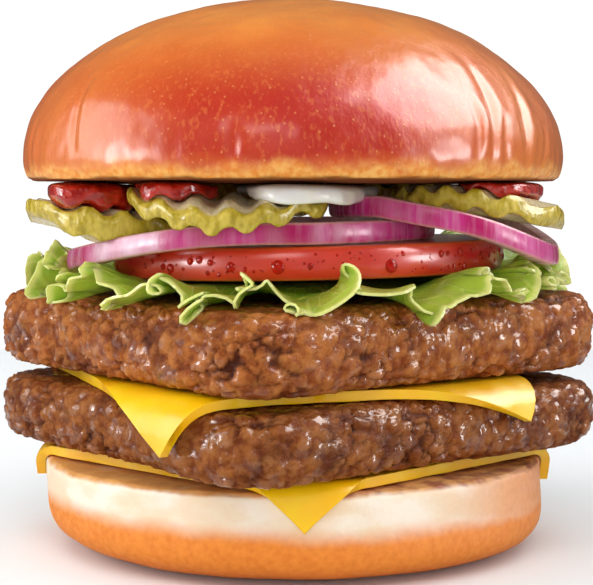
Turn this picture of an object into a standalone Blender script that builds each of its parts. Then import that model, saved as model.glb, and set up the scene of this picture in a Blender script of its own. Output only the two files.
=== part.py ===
"""Double cheeseburger with square patties, standing on its lower bun half.

The frame: origin at the middle of the lower bun's flat underside, +Z up, and -Y is the side
that shows best. Every layer is a solid of its own, stacked with a small air gap to the next.
"""

import math

import bmesh
import bpy
from mathutils import Vector, noise

MM = 0.001
GAP = 0.3 * MM
ROUND_STEPS = 48

# Lower bun half: straight side, wide rounding down to the flat foot
HEEL_RADIUS = 47.8 * MM
HEEL_HEIGHT = 17.3 * MM
HEEL_FOOT_ROUNDING = (24.8 * MM, 9.4 * MM)
HEEL_FOOT_FULLNESS = 0.6
HEEL_RIM_ROUNDING = (1.3 * MM, 1.7 * MM)
HEEL_LEAN = 1.5 * MM

# Square cheese slices, whose corners hang down over what they lie on
CHEESE_THICKNESS = 1.8 * MM
CHEESE_FLAP_RINGS = (1.0, 0.62, 0.4, 0.2)
CHEESE_LEAST_RIM = 0.045
LOWER_CHEESE_SIDE = 77.0 * MM
LOWER_CHEESE_CENTRE = (1.0 * MM, -0.5 * MM)
LOWER_CHEESE_TURN = math.radians(46.5)
LOWER_CHEESE_OVERHANG = 1.9 * MM
UPPER_CHEESE_SIDE = 71.5 * MM
UPPER_CHEESE_CENTRE = (-2.0 * MM, -8.7 * MM)
UPPER_CHEESE_TURN = math.radians(20.2)
UPPER_CHEESE_OVERHANG = 1.3 * MM

# Square patties with round corners and rounded, craggy sides
PATTY_HALF_SIDE = 45.9 * MM
PATTY_SQUARENESS = 6.3
PATTY_TURN = math.radians(38.5)
PATTY_EDGE_DEPTH = 6.5 * MM
PATTY_FULLNESS = 0.72
PATTY_LEVEL_SHARE = 0.87
LOWER_PATTY_HEIGHT = 12.2 * MM
UPPER_PATTY_HEIGHT = 14.1 * MM
PATTY_STEPS = 60
CORNER_SAG = 0.9 * MM
CORNER_SAG_START = 46.5 * MM
CORNER_SAG_END = 58.0 * MM
CRAG_DEPTH = 1.5 * MM
CRAG_SIZES = (9.0 * MM, 4.0 * MM)

# Lettuce leaf, with a ruffled rim that reaches past the tomato
LEAF_THICKNESS = 0.7 * MM
LEAF_STEPS = 108
LEAF_RADIUS = 51.0 * MM
LEAF_RINGS = (47.5 * MM, 43.0 * MM, 37.5 * MM, 30.0 * MM, 16.0 * MM, 0.0)
LEAF_RUFFLES = 18
LEAF_RUFFLE_HEIGHT = 3.6 * MM
LEAF_RUFFLE_REACH = 1.6 * MM
LEAF_RUFFLE_LEAN = 1.5 * MM
LEAF_SIDE_LIFT = 2.2 * MM
LEAF_SHIFT = 1.0 * MM
LEAF_FRONT_REACH = 2.0 * MM
LEAF_MIDDLE_WAVE = 0.7 * MM
LEAF_CLEARANCE = 0.85 * MM
LEAF_FLAT_RADIUS = 30.0 * MM

# Tomato slice, a little higher on the right
TOMATO_CENTRE = (3.0 * MM, 0.0)
TOMATO_RADIUS = 37.7 * MM
TOMATO_THICKNESS = 6.0 * MM
TOMATO_TILT = math.radians(1.2)
TOMATO_SKIN_BULGE = 1.2 * MM
LEAF_ROOM = 3.8 * MM

# Red onion rings: centre, outer radius and how they sag past the tomato's edge
ONION_STEPS = 44
ONION_WALL = 2.7 * MM
ONION_HEIGHT = 3.8 * MM
LOW_ONION_CENTRE = (-8.0 * MM, -5.0 * MM)
LOW_ONION_RADIUS = 35.0 * MM
LOW_ONION_SAG = 4.3
LOW_ONION_SAG_START = -4.0 * MM
HIGH_ONION_CENTRE = (27.9 * MM, -14.0 * MM)
HIGH_ONION_RADIUS = 21.3 * MM
HIGH_ONION_SLOPE = 0.2
HIGH_ONION_SLOPE_START = 29.5 * MM
HIGH_ONION_SAG = 17.0
HIGH_ONION_SAG_START = 41.0 * MM

# Crinkle-cut pickle slices
PICKLE_THICKNESS = 3.2 * MM
PICKLE_RIDGES = 6
PICKLE_END = 0.985
RIDGE_HEIGHT = 0.65 * MM

# Ketchup and mayonnaise under the upper bun
SAUCE_SEGMENTS = 16

# Upper bun half: half an ellipsoid on a short rounded foot
CROWN_BASE = 69.5 * MM
CROWN_RADIUS = 51.3 * MM
CROWN_WAIST = 73.9 * MM
CROWN_TOP = 104.1 * MM
CROWN_FOOT_RUN = 2.0 * MM
CROWN_UNEVENNESS = 0.5 * MM

# Levels of the stack, from the lower bun up
LOWER_CHEESE_LEVEL = HEEL_HEIGHT + GAP + CHEESE_THICKNESS / 2
LOWER_PATTY_BASE = HEEL_HEIGHT + 2 * GAP + CHEESE_THICKNESS
LOWER_PATTY_TOP = LOWER_PATTY_BASE + LOWER_PATTY_HEIGHT
UPPER_CHEESE_LEVEL = LOWER_PATTY_TOP + GAP + CHEESE_THICKNESS / 2
UPPER_PATTY_BASE = LOWER_PATTY_TOP + 2 * GAP + CHEESE_THICKNESS
UPPER_PATTY_TOP = UPPER_PATTY_BASE + UPPER_PATTY_HEIGHT
TOMATO_BASE = UPPER_PATTY_TOP + LEAF_ROOM
TOMATO_TOP = TOMATO_BASE + TOMATO_THICKNESS

COLOURS = {
    "bread_crust": ((0.62, 0.18, 0.045), 0.35),
    "bread_side": ((0.86, 0.55, 0.24), 0.75),
    "cheese": ((1.0, 0.55, 0.02), 0.35),
    "beef": ((0.16, 0.06, 0.025), 0.45),
    "lettuce": ((0.35, 0.52, 0.05), 0.4),
    "tomato": ((0.6, 0.025, 0.01), 0.2),
    "onion": ((0.45, 0.06, 0.2), 0.3),
    "pickle": ((0.42, 0.38, 0.05), 0.35),
    "ketchup": ((0.42, 0.01, 0.008), 0.2),
    "mayonnaise": ((0.9, 0.84, 0.72), 0.35),
}


def clear_scene():
    for obj in list(bpy.data.objects):
        bpy.data.objects.remove(obj, do_unlink=True)


def make_collection(name):
    collection = bpy.data.collections.new(name)
    bpy.context.scene.collection.children.link(collection)
    return collection


def make_materials():
    materials = {}
    for name, (colour, roughness) in COLOURS.items():
        material = bpy.data.materials.new(name)
        material.use_nodes = True
        shader = material.node_tree.nodes["Principled BSDF"]
        shader.inputs["Base Color"].default_value = (*colour, 1.0)
        shader.inputs["Roughness"].default_value = roughness
        material.diffuse_color = (*colour, 1.0)
        materials[name] = material
    return materials


def object_from(mesh, name, collection):
    """A new object that holds the bmesh, which is freed."""
    data = bpy.data.meshes.new(name)
    mesh.to_mesh(data)
    mesh.free()
    obj = bpy.data.objects.new(name, data)
    collection.objects.link(obj)
    return obj


def bake(obj):
    """Applies the object's modifiers to its mesh."""
    bpy.context.view_layer.update()
    graph = bpy.context.evaluated_depsgraph_get()
    mesh = bpy.data.meshes.new_from_object(obj.evaluated_get(graph))
    obj.modifiers.clear()
    old = obj.data
    obj.data = mesh
    bpy.data.meshes.remove(old)
    mesh.name = obj.name


def reshape(obj, move):
    """Moves each vertex of the object's mesh to move(point)."""
    for vertex in obj.data.vertices:
        vertex.co = move(vertex.co.copy())


def finish(obj, material, angle=50.0):
    """Gives the object its material, smooth where its faces meet at less than the angle."""
    obj.data.materials.append(material)
    obj.data.shade_smooth()
    obj.data.set_sharp_from_angle(angle=math.radians(angle))


def turned(name, profile, steps, collection, closed=False):
    """A profile of (radius, height) points, listed from top to bottom, turned about Z."""
    mesh = bmesh.new()
    points = [mesh.verts.new((radius, 0.0, height)) for radius, height in profile]
    for start, end in zip(points, points[1:]):
        mesh.edges.new((start, end))
    if closed:
        mesh.edges.new((points[-1], points[0]))
    obj = object_from(mesh, name, collection)
    screw = obj.modifiers.new("turn", "SCREW")
    screw.steps = screw.render_steps = steps
    screw.use_merge_vertices = True
    screw.merge_threshold = 0.02 * MM
    screw.use_normal_calculate = True
    bake(obj)
    return obj


def thicken(obj, thickness):
    """Gives the sheet half its thickness on either side, with both faces split alike."""
    mesh = bmesh.new()
    mesh.from_mesh(obj.data)
    bmesh.ops.triangulate(mesh, faces=mesh.faces)
    mesh.to_mesh(obj.data)
    mesh.free()
    solid = obj.modifiers.new("thickness", "SOLIDIFY")
    solid.thickness = thickness
    solid.offset = 0.0
    bake(obj)


def powered(value, power):
    return math.copysign(abs(value) ** power, value)


def arc_points(centre, radii, start, end, count, power=1.0):
    """Points of an arc in the (radius, height) plane, angles in degrees.

    A power of 1 gives an ellipse, and a smaller one a fuller, squarer bulge.
    """
    points = []
    for i in range(count):
        angle = math.radians(start + (end - start) * i / (count - 1))
        across = powered(math.cos(angle), power)
        up = powered(math.sin(angle), power)
        points.append((centre[0] + radii[0] * across, centre[1] + radii[1] * up))
    return points


def smoothstep(value):
    value = min(max(value, 0.0), 1.0)
    return value * value * (3.0 - 2.0 * value)


def make_heel(collection, material):
    foot_run, foot_rise = HEEL_FOOT_ROUNDING
    rim_run, rim_drop = HEEL_RIM_ROUNDING
    foot_middle = (HEEL_RADIUS - foot_run, foot_rise)
    profile = [(0.0, HEEL_HEIGHT)]
    profile += arc_points(
        (HEEL_RADIUS - rim_run, HEEL_HEIGHT - rim_drop), HEEL_RIM_ROUNDING, 90, 0, 4
    )
    profile += arc_points(foot_middle, HEEL_FOOT_ROUNDING, 0, -90, 9, HEEL_FOOT_FULLNESS)
    profile += [(0.0, 0.0)]
    obj = turned("heel", profile, ROUND_STEPS, collection)

    def leaning(point):
        lean = HEEL_LEAN * (1.0 - point.z / HEEL_HEIGHT) ** 2
        return Vector((point.x + lean, point.y, point.z))

    reshape(obj, leaning)
    finish(obj, material)


def crown_radius_factor(angle):
    """How much the bun's outline swells or draws in round its edge, from -1 to 1."""
    return 0.6 * math.sin(2 * angle + 0.7) + 0.4 * math.sin(5 * angle + 2.0)


def make_crown(collection, material):
    rim = CROWN_WAIST - CROWN_BASE
    profile = arc_points((0.0, CROWN_WAIST), (CROWN_RADIUS, CROWN_TOP - CROWN_WAIST), 90, 0, 10)
    profile[0] = (0.0, CROWN_TOP)
    profile += arc_points(
        (CROWN_RADIUS - CROWN_FOOT_RUN, CROWN_WAIST), (CROWN_FOOT_RUN, rim), -25, -90, 4
    )
    profile += [(0.0, CROWN_BASE)]
    obj = turned("crown", profile, ROUND_STEPS, collection)

    def uneven(point):
        radius = math.hypot(point.x, point.y)
        factor = crown_radius_factor(math.atan2(point.y, point.x))
        share = CROWN_UNEVENNESS * factor * radius / CROWN_RADIUS**2
        return Vector((point.x * (1 + share), point.y * (1 + share), point.z))

    reshape(obj, uneven)
    finish(obj, material)


def patty_reach(angle):
    """Distance from the middle to the patty's widest outline in a direction."""
    across = abs(math.cos(angle - PATTY_TURN)) ** PATTY_SQUARENESS
    along = abs(math.sin(angle - PATTY_TURN)) ** PATTY_SQUARENESS
    return PATTY_HALF_SIDE / (across + along) ** (1.0 / PATTY_SQUARENESS)


def crag(point, seed):
    """How deep the meat's crumb is carved at a point, from 0 to CRAG_DEPTH."""
    depth = 0.0
    for size, share in zip(CRAG_SIZES, (0.6, 0.4)):
        depth += share * (0.5 + 0.5 * noise.noise(point / size + Vector((seed, 0.0, 0.0))))
    return CRAG_DEPTH * depth


def corner_sag(radius, angle):
    """How far the patties' front and back corners, and what lies on them, hang down."""
    run = CORNER_SAG_END - CORNER_SAG_START
    return CORNER_SAG * math.sin(angle) ** 2 * smoothstep((radius - CORNER_SAG_START) / run)


def make_patty(name, base, height, seed, collection, material):
    """A round cake turned first, then drawn out to the square outline and carved."""
    half = height / 2
    edge = PATTY_EDGE_DEPTH
    flat = PATTY_HALF_SIDE - edge
    level = flat * PATTY_LEVEL_SHARE
    profile = [(0.0, base + height), (level, base + height)]
    profile += arc_points((flat, base + half), (edge, half), 90, -90, 9, PATTY_FULLNESS)
    profile += [(level, base), (0.0, base)]
    obj = turned(name, profile, PATTY_STEPS, collection)

    def squared(point):
        radius = math.hypot(point.x, point.y)
        if radius < 0.01 * MM:
            return point
        angle = math.atan2(point.y, point.x)
        out = max(0.0, radius - flat) / edge
        new_radius = (patty_reach(angle) - edge) * min(1.0, radius / flat) + edge * out
        new_radius -= out * crag(point, seed)
        z = point.z - corner_sag(new_radius, angle)
        return Vector((new_radius * math.cos(angle), new_radius * math.sin(angle), z))

    reshape(obj, squared)
    finish(obj, material, 70.0)


PATTIES = (
    ("lower_patty", LOWER_PATTY_BASE, LOWER_PATTY_HEIGHT, 3.0),
    ("upper_patty", UPPER_PATTY_BASE, UPPER_PATTY_HEIGHT, 11.0),
)


def drape_path(edge_run, edge_drop, offset, power=1.0):
    """(reach past the flat part, drop) points of a slice that lies over a rounded edge."""
    edge = arc_points((0.0, 0.0), (edge_run, edge_drop), 90, 0, 25, power)
    points = [(0.0, 0.0)]
    for (reach, height), (next_reach, next_height) in zip(edge, edge[1:]):
        normal = Vector((height - next_height, next_reach - reach)).normalized()
        middle_reach = (reach + next_reach) / 2 + normal.x * offset
        middle_height = (height + next_height) / 2 + normal.y * offset
        points.append((middle_reach, edge_drop + offset - middle_height))
    points.append((edge_run + offset, edge_drop + offset))
    return points


def along_drape(path, length):
    """The point of a drape path that far along it. Past its end the slice hangs straight down."""
    for (reach, drop), (next_reach, next_drop) in zip(path, path[1:]):
        step = math.hypot(next_reach - reach, next_drop - drop)
        if length <= step:
            share = length / step
            return reach + (next_reach - reach) * share, drop + (next_drop - drop) * share
        length -= step
    return path[-1][0], path[-1][1] + length


def square_edge(angle, side, centre, turn):
    """The point of the slice's outline that its own middle sees in a direction."""
    reach = side / 2 / max(abs(math.cos(angle)), abs(math.sin(angle)))
    return Vector((
        centre[0] + reach * math.cos(angle + turn),
        centre[1] + reach * math.sin(angle + turn),
    ))


def make_cheese(name, side, centre, turn, level, flat_reach, path, sag, collection, material):
    """A square slice in rings, flat in the middle, whose corners follow the drape path down."""
    shares = [1.0 + ring for ring in CHEESE_FLAP_RINGS] + [1.0, 0.5, 0.0]
    obj = turned(name, [(share, 0.0) for share in shares], ROUND_STEPS, collection)

    def draped(point):
        share = math.hypot(point.x, point.y)
        if share < 0.01:
            return Vector((0.0, 0.0, level))
        edge = square_edge(math.atan2(point.y, point.x), side, centre, turn)
        outward = edge.normalized()
        bearing = math.atan2(edge.y, edge.x)
        support = flat_reach(bearing)
        bend_start = min(support, (1.0 - CHEESE_LEAST_RIM) * edge.length)
        if share <= 1.0:
            length = bend_start * share
        else:
            length = bend_start + (edge.length - bend_start) * (share - 1.0)
        over = length - support
        if over <= 0.0:
            return Vector((*(outward * length), level - sag(length, bearing)))
        reach, drop = along_drape(path, over)
        fall = drop + sag(support + reach, bearing)
        return Vector((*(outward * (support + reach)), level - fall))

    reshape(obj, draped)
    thicken(obj, CHEESE_THICKNESS)
    finish(obj, material)


def make_lower_cheese(collection, material):
    rim_run, rim_drop = HEEL_RIM_ROUNDING
    path = drape_path(rim_run, rim_drop, GAP + CHEESE_THICKNESS / 2)
    support = HEEL_RADIUS - rim_run + LOWER_CHEESE_OVERHANG
    make_cheese(
        "lower_cheese", LOWER_CHEESE_SIDE, LOWER_CHEESE_CENTRE, LOWER_CHEESE_TURN,
        LOWER_CHEESE_LEVEL, lambda angle: support, path, lambda radius, angle: 0.0,
        collection, material,
    )


def make_upper_cheese(collection, material):
    offset = GAP + CHEESE_THICKNESS / 2
    path = drape_path(PATTY_EDGE_DEPTH, LOWER_PATTY_HEIGHT / 2, offset, PATTY_FULLNESS)
    inset = PATTY_EDGE_DEPTH - UPPER_CHEESE_OVERHANG
    make_cheese(
        "upper_cheese", UPPER_CHEESE_SIDE, UPPER_CHEESE_CENTRE, UPPER_CHEESE_TURN,
        UPPER_CHEESE_LEVEL, lambda angle: patty_reach(angle) - inset, path, corner_sag,
        collection, material,
    )


def tomato_offset(x, y):
    """Distance of a point from the tomato slice's middle, seen from above."""
    return math.hypot(x - TOMATO_CENTRE[0], y - TOMATO_CENTRE[1])


def tomato_rise(x):
    """How much higher the tilted slice is at x than in its middle."""
    return math.tan(TOMATO_TILT) * (x - TOMATO_CENTRE[0])


def make_tomato(collection, material):
    half = TOMATO_THICKNESS / 2
    flat = TOMATO_RADIUS - TOMATO_SKIN_BULGE
    profile = [(0.0, half), (flat, half)]
    profile += arc_points((flat, 0.0), (TOMATO_SKIN_BULGE, half), 65, -65, 4)
    profile += [(flat, -half), (0.0, -half)]
    obj = turned("tomato", profile, ROUND_STEPS, collection)

    def placed(point):
        x = point.x + TOMATO_CENTRE[0]
        return Vector((x, point.y + TOMATO_CENTRE[1], TOMATO_BASE + half + point.z + tomato_rise(x)))

    reshape(obj, placed)
    finish(obj, material)


def over_tomato(x, y, wanted):
    """The wanted height, or the tomato's top where the tomato is still underneath."""
    past_edge = max(0.0, tomato_offset(x, y) - TOMATO_RADIUS - 0.3 * MM)
    return max(wanted, TOMATO_TOP + tomato_rise(x) + GAP - 1.6 * past_edge)


def low_onion_base(x, y):
    sag = LOW_ONION_SAG * max(0.0, LOW_ONION_SAG_START - x) ** 2
    return over_tomato(x, y, TOMATO_TOP + GAP - sag)


def high_onion_base(x, y):
    """Level where the ring lies on the lower one, then falling away from that ring's middle."""
    start = TOMATO_TOP + 3.5 * GAP + ONION_HEIGHT
    away = Vector(HIGH_ONION_CENTRE) - Vector(LOW_ONION_CENTRE)
    past = (Vector((x, y)) - Vector(LOW_ONION_CENTRE)).dot(away.normalized())
    slope = HIGH_ONION_SLOPE * max(0.0, past - HIGH_ONION_SLOPE_START)
    sag = HIGH_ONION_SAG * max(0.0, past - HIGH_ONION_SAG_START) ** 2
    return over_tomato(x, y, start - slope - sag)


ONIONS = (
    ("onion_low", LOW_ONION_CENTRE, LOW_ONION_RADIUS, low_onion_base),
    ("onion_high", HIGH_ONION_CENTRE, HIGH_ONION_RADIUS, high_onion_base),
)


def make_onion(name, centre, radius, base, collection, material):
    """A cut ring, its outer skin a little wider at the bottom, laid on base(x, y)."""
    inner = radius - ONION_WALL
    height = ONION_HEIGHT
    profile = [
        (inner, height), (radius - 0.7 * MM, height), (radius - 0.2 * MM, height * 0.85),
        (radius, height * 0.35), (radius - 0.4 * MM, 0.0), (inner - 0.4 * MM, 0.0),
    ]
    obj = turned(name, profile, ONION_STEPS, collection, closed=True)

    def laid(point):
        angle = math.atan2(point.y, point.x)
        inner_x = centre[0] + inner * math.cos(angle)
        inner_y = centre[1] + inner * math.sin(angle)
        return Vector((centre[0] + point.x, centre[1] + point.y, base(inner_x, inner_y) + point.z))

    reshape(obj, laid)
    finish(obj, material)


def patty_top_height(x, y):
    """Height of the upper patty's smooth top, which falls away at its rounded edge."""
    radius = math.hypot(x, y)
    half = UPPER_PATTY_HEIGHT / 2
    past = 1.0 - (patty_reach(math.atan2(y, x)) - radius) / PATTY_EDGE_DEPTH
    share = min(1.0, max(0.0, past)) ** (1 / PATTY_FULLNESS)
    fall = half * (1.0 - math.sqrt(1.0 - share * share) ** PATTY_FULLNESS)
    return UPPER_PATTY_TOP - fall - corner_sag(radius, math.atan2(y, x))


def ring_ceiling(x, y, centre, radius, base):
    """How high the leaf may rise near an onion ring that sags onto it."""
    out = math.hypot(x - centre[0], y - centre[1])
    beside = max(0.0, out - radius - 0.9 * MM, radius - ONION_WALL - 0.9 * MM - out)
    return base(x, y) + 1.5 * beside


def leaf_ceiling(x, y):
    beside = max(0.0, tomato_offset(x, y) - TOMATO_RADIUS - 0.8 * MM)
    under_tomato = TOMATO_BASE + tomato_rise(x) + 1.3 * beside
    low = ring_ceiling(x, y, LOW_ONION_CENTRE, LOW_ONION_RADIUS, low_onion_base)
    high = ring_ceiling(x, y, HIGH_ONION_CENTRE, HIGH_ONION_RADIUS, high_onion_base)
    return min(under_tomato, low, high)


def leaf_point(radius, angle):
    """A point of the lettuce's middle surface. radius is measured along the flat leaf."""
    ruffle = smoothstep((radius - LEAF_FLAT_RADIUS) / (LEAF_RADIUS - LEAF_FLAT_RADIUS))
    phase = LEAF_RUFFLES * angle + 1.5 * math.sin(3 * angle + 1.0) + math.sin(5 * angle + 2.0)
    height = LEAF_RUFFLE_HEIGHT * (0.8 + 0.2 * math.sin(4 * angle))
    side_lift = LEAF_SIDE_LIFT * abs(math.cos(angle)) ** 3
    z = TOMATO_BASE - LEAF_ROOM / 2 + ruffle * (height * math.sin(phase) + side_lift)
    z += (1 - ruffle) * LEAF_MIDDLE_WAVE * math.sin(3 * angle + radius / (4 * MM))
    lean = ruffle * LEAF_RUFFLE_LEAN * math.sin(2 * phase + 0.6)
    out = radius + ruffle * LEAF_RUFFLE_REACH * math.cos(phase + 0.8)
    out += ruffle * LEAF_FRONT_REACH * (abs(math.sin(angle)) ** 4 - 0.4)
    out += ruffle * LEAF_SHIFT * math.cos(angle)
    turn = angle + lean / LEAF_RADIUS
    x = out * math.cos(turn)
    y = out * math.sin(turn)
    z = min(z, leaf_ceiling(x, y) - LEAF_CLEARANCE)
    z = max(z, patty_top_height(x, y) + LEAF_CLEARANCE)
    return Vector((x, y, z))


def make_lettuce(collection, material):
    rings = [(radius, 0.0) for radius in (LEAF_RADIUS, *LEAF_RINGS)]
    obj = turned("lettuce", rings, LEAF_STEPS, collection)
    reshape(obj, lambda p: leaf_point(math.hypot(p.x, p.y), math.atan2(p.y, p.x)))
    thicken(obj, LEAF_THICKNESS)
    finish(obj, material, 80.0)


def left_pickle_middle(x, y):
    return 62.65 * MM - 0.116 * (x + 35.5 * MM)


def front_pickle_middle(x, y):
    """The slice droops over the lower ring's outside, and its left end lies on the next slice."""
    from_ring = math.hypot(x - LOW_ONION_CENTRE[0], y - LOW_ONION_CENTRE[1])
    droop = 80.0 * max(0.0, from_ring - LOW_ONION_RADIUS - GAP) ** 2
    lift = 1.0 * MM * smoothstep((-12 * MM - x) / (12 * MM))
    return 65.2 * MM - droop + lift


def right_pickle_middle(x, y):
    return 66.4 * MM - 0.175 * max(0.0, x - 29 * MM)


def back_pickle_middle(x, y):
    return 65.7 * MM - 0.03 * abs(x)


# Each slice: centre, radii, the direction across its ridges, rows of faces and its height
PICKLES = {
    "pickle_left": (
        (-33.0 * MM, -14.8 * MM), (16.3 * MM, 16.5 * MM), 30.0, 2, left_pickle_middle,
    ),
    "pickle_front": (
        (-11.4 * MM, -30.0 * MM), (17.8 * MM, 15.5 * MM), 0.0, 4, front_pickle_middle,
    ),
    "pickle_right": (
        (34.0 * MM, -16.5 * MM), (16.0 * MM, 16.0 * MM), -30.0, 2, right_pickle_middle,
    ),
    "pickle_back_left": (
        (-22.0 * MM, 23.0 * MM), (17.5 * MM, 16.5 * MM), 160.0, 2, back_pickle_middle,
    ),
    "pickle_back_right": (
        (19.0 * MM, 25.0 * MM), (17.0 * MM, 16.0 * MM), 200.0, 2, back_pickle_middle,
    ),
}


def make_pickle(name, collection, material):
    """An oval plate, its rows of faces in step with its ridges, bent to lie on middle(x, y)."""
    centre, radii, ridge_turn, rows, middle = PICKLES[name]
    mesh = bmesh.new()
    columns = 4 * PICKLE_RIDGES
    bmesh.ops.create_grid(mesh, x_segments=columns, y_segments=rows, size=1.0)
    obj = object_from(mesh, name, collection)
    turn = math.radians(ridge_turn)

    def oval(point):
        half_width = radii[1] * math.sqrt(1 - (PICKLE_END * point.x) ** 2)
        return Vector((point.x * radii[0], point.y * half_width, 0.0))

    def corrugated(point):
        x = centre[0] + point.x * math.cos(turn) - point.y * math.sin(turn)
        y = centre[1] + point.x * math.sin(turn) + point.y * math.cos(turn)
        phase = math.pi * (PICKLE_RIDGES * point.x / radii[0] + 0.25)
        wave = RIDGE_HEIGHT * max(-1.0, min(1.0, 1.4 * math.sin(phase)))
        return Vector((x, y, middle(x, y) + point.z + wave))

    reshape(obj, oval)
    thicken(obj, PICKLE_THICKNESS)
    reshape(obj, corrugated)
    finish(obj, material)


def pickle_top(middle, x, y):
    return middle(x, y) + PICKLE_THICKNESS / 2 + RIDGE_HEIGHT + GAP


def left_ketchup_floor(x, y):
    return pickle_top(left_pickle_middle, x, y)


def middle_ketchup_floor(x, y):
    return pickle_top(front_pickle_middle, x, y)


def right_ketchup_floor(x, y):
    return pickle_top(right_pickle_middle, x, y)


def mayonnaise_floor(x, y):
    """On the pickles, and lower to the right of the front one, where it sags to the onion."""
    on_pickle = pickle_top(front_pickle_middle, max(x, -18 * MM), y)
    sag = smoothstep((x - 7.4 * MM) / (1.5 * MM)) * smoothstep((-14 * MM - y) / (6 * MM))
    return on_pickle - sag * 0.7 * MM


# Each dollop: centre, radii, what it lies on and its colour
SAUCES = {
    "ketchup_left": ((-38.5 * MM, -18.0 * MM), (7.6 * MM, 13.0 * MM), left_ketchup_floor, "ketchup"),
    "ketchup_middle": ((-19.5 * MM, -33.0 * MM), (5.6 * MM, 8.0 * MM), middle_ketchup_floor, "ketchup"),
    "ketchup_right": ((38.2 * MM, -20.0 * MM), (7.6 * MM, 10.0 * MM), right_ketchup_floor, "ketchup"),
    "mayonnaise": ((2.0 * MM, -17.0 * MM), (12.6 * MM, 26.5 * MM), mayonnaise_floor, "mayonnaise"),
}


def make_sauce(name, centre, radii, floor, collection, material):
    """A pressed ball of sauce that fills the space from floor(x, y) up to the upper bun."""
    mesh = bmesh.new()
    bmesh.ops.create_uvsphere(mesh, u_segments=SAUCE_SEGMENTS, v_segments=6, radius=1.0)
    obj = object_from(mesh, name, collection)
    ceiling = CROWN_BASE - GAP

    def pressed(point):
        angle = math.atan2(point.y, point.x)
        lobes = 1.0 + 0.08 * math.sin(3 * angle + 1.0) + 0.05 * math.sin(5 * angle)
        side = math.hypot(point.x, point.y)
        spread = lobes / math.sqrt(max(side, 0.001))
        x = centre[0] + point.x * spread * radii[0]
        y = centre[1] + point.y * spread * radii[1]
        low = min(floor(x, y), ceiling - 0.5 * MM)
        rise = math.copysign(math.sqrt(abs(point.z)), point.z)
        return Vector((x, y, (ceiling + low) / 2 + rise * (ceiling - low) / 2))

    reshape(obj, pressed)
    finish(obj, material)


def main():
    clear_scene()
    collection = make_collection("double_cheeseburger")
    materials = make_materials()
    make_heel(collection, materials["bread_side"])
    make_lower_cheese(collection, materials["cheese"])
    for name, base, height, seed in PATTIES:
        make_patty(name, base, height, seed, collection, materials["beef"])
    make_upper_cheese(collection, materials["cheese"])
    make_lettuce(collection, materials["lettuce"])
    make_tomato(collection, materials["tomato"])
    for name, centre, radius, base in ONIONS:
        make_onion(name, centre, radius, base, collection, materials["onion"])
    for name in PICKLES:
        make_pickle(name, collection, materials["pickle"])
    for name, (centre, radii, floor, colour) in SAUCES.items():
        make_sauce(name, centre, radii, floor, collection, materials[colour])
    make_crown(collection, materials["bread_crust"])


main()
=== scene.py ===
import math
import random

import bpy
import numpy as np
from mathutils import Matrix, Vector, noise


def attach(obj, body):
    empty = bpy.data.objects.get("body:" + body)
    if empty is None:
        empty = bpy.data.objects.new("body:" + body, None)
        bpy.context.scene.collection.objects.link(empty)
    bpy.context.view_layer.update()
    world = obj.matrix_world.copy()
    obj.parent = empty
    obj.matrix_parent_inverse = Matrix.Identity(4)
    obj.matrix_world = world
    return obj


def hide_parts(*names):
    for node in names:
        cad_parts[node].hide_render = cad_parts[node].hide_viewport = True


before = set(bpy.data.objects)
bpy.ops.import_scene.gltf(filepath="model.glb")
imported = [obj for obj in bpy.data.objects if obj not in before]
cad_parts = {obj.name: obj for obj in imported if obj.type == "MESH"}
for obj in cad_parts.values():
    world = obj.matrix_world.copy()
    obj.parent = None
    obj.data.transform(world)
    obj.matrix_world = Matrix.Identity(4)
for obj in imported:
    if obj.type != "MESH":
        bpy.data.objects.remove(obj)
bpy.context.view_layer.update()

MM = 0.001
GAP = 0.3 * MM

# Bun, in the same sizes as the part
HEEL_RADIUS = 47.8 * MM
HEEL_HEIGHT = 17.3 * MM
HEEL_FOOT_ROUNDING = (24.8 * MM, 9.4 * MM)
HEEL_FOOT_FULLNESS = 0.6
HEEL_RIM_ROUNDING = (1.3 * MM, 1.7 * MM)
HEEL_LEAN = 1.5 * MM
CROWN_BASE = 69.5 * MM
CROWN_RADIUS = 51.3 * MM
CROWN_WAIST = 73.9 * MM
CROWN_TOP = 104.1 * MM
CROWN_FOOT_RUN = 2.0 * MM
CROWN_UNEVENNESS = 0.5 * MM
CROWN_SAG = 0.5 * MM

# Cheese slices
CHEESE_THICKNESS = 1.8 * MM
UPPER_CHEESE_OVERHANG = 1.3 * MM
CHEESE_LEAST_RIM = 0.045
LOWER_CHEESE = dict(
    side=76.9 * MM, centre=(0.8 * MM, -1.2 * MM), turn=math.radians(46.5), level=18.5 * MM
)
UPPER_CHEESE = dict(
    side=73.4 * MM, centre=(-2.0 * MM, -8.7 * MM), turn=math.radians(20.2), level=33.1 * MM
)

# Beef patties
PATTY_HALF_SIDE = 45.9 * MM
PATTY_SQUARENESS = 6.3
PATTY_TURN = math.radians(38.5)
PATTY_EDGE_DEPTH = 6.5 * MM
PATTY_FULLNESS = 0.72
LOWER_PATTY_BASE = 19.7 * MM
LOWER_PATTY_HEIGHT = 12.2 * MM
UPPER_PATTY_BASE = 34.3 * MM
UPPER_PATTY_HEIGHT = 14.1 * MM
CORNER_SAG = 0.9 * MM
CORNER_SAG_START = 46.5 * MM
CORNER_SAG_END = 58.0 * MM
GRAIN_SIZE = 3.0 * MM
FINE_GRAIN_SIZE = 1.5 * MM
MIDDLE_CRUMB_DEPTH = 0.6
DEEPEST_CRUMB = 1.9
FACE_CRUMB_SHARE = 0.45
# How dark the lower patty is painted: painted shade under the upper patty.
LOWER_PATTY_SHADE = 0.72

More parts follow.
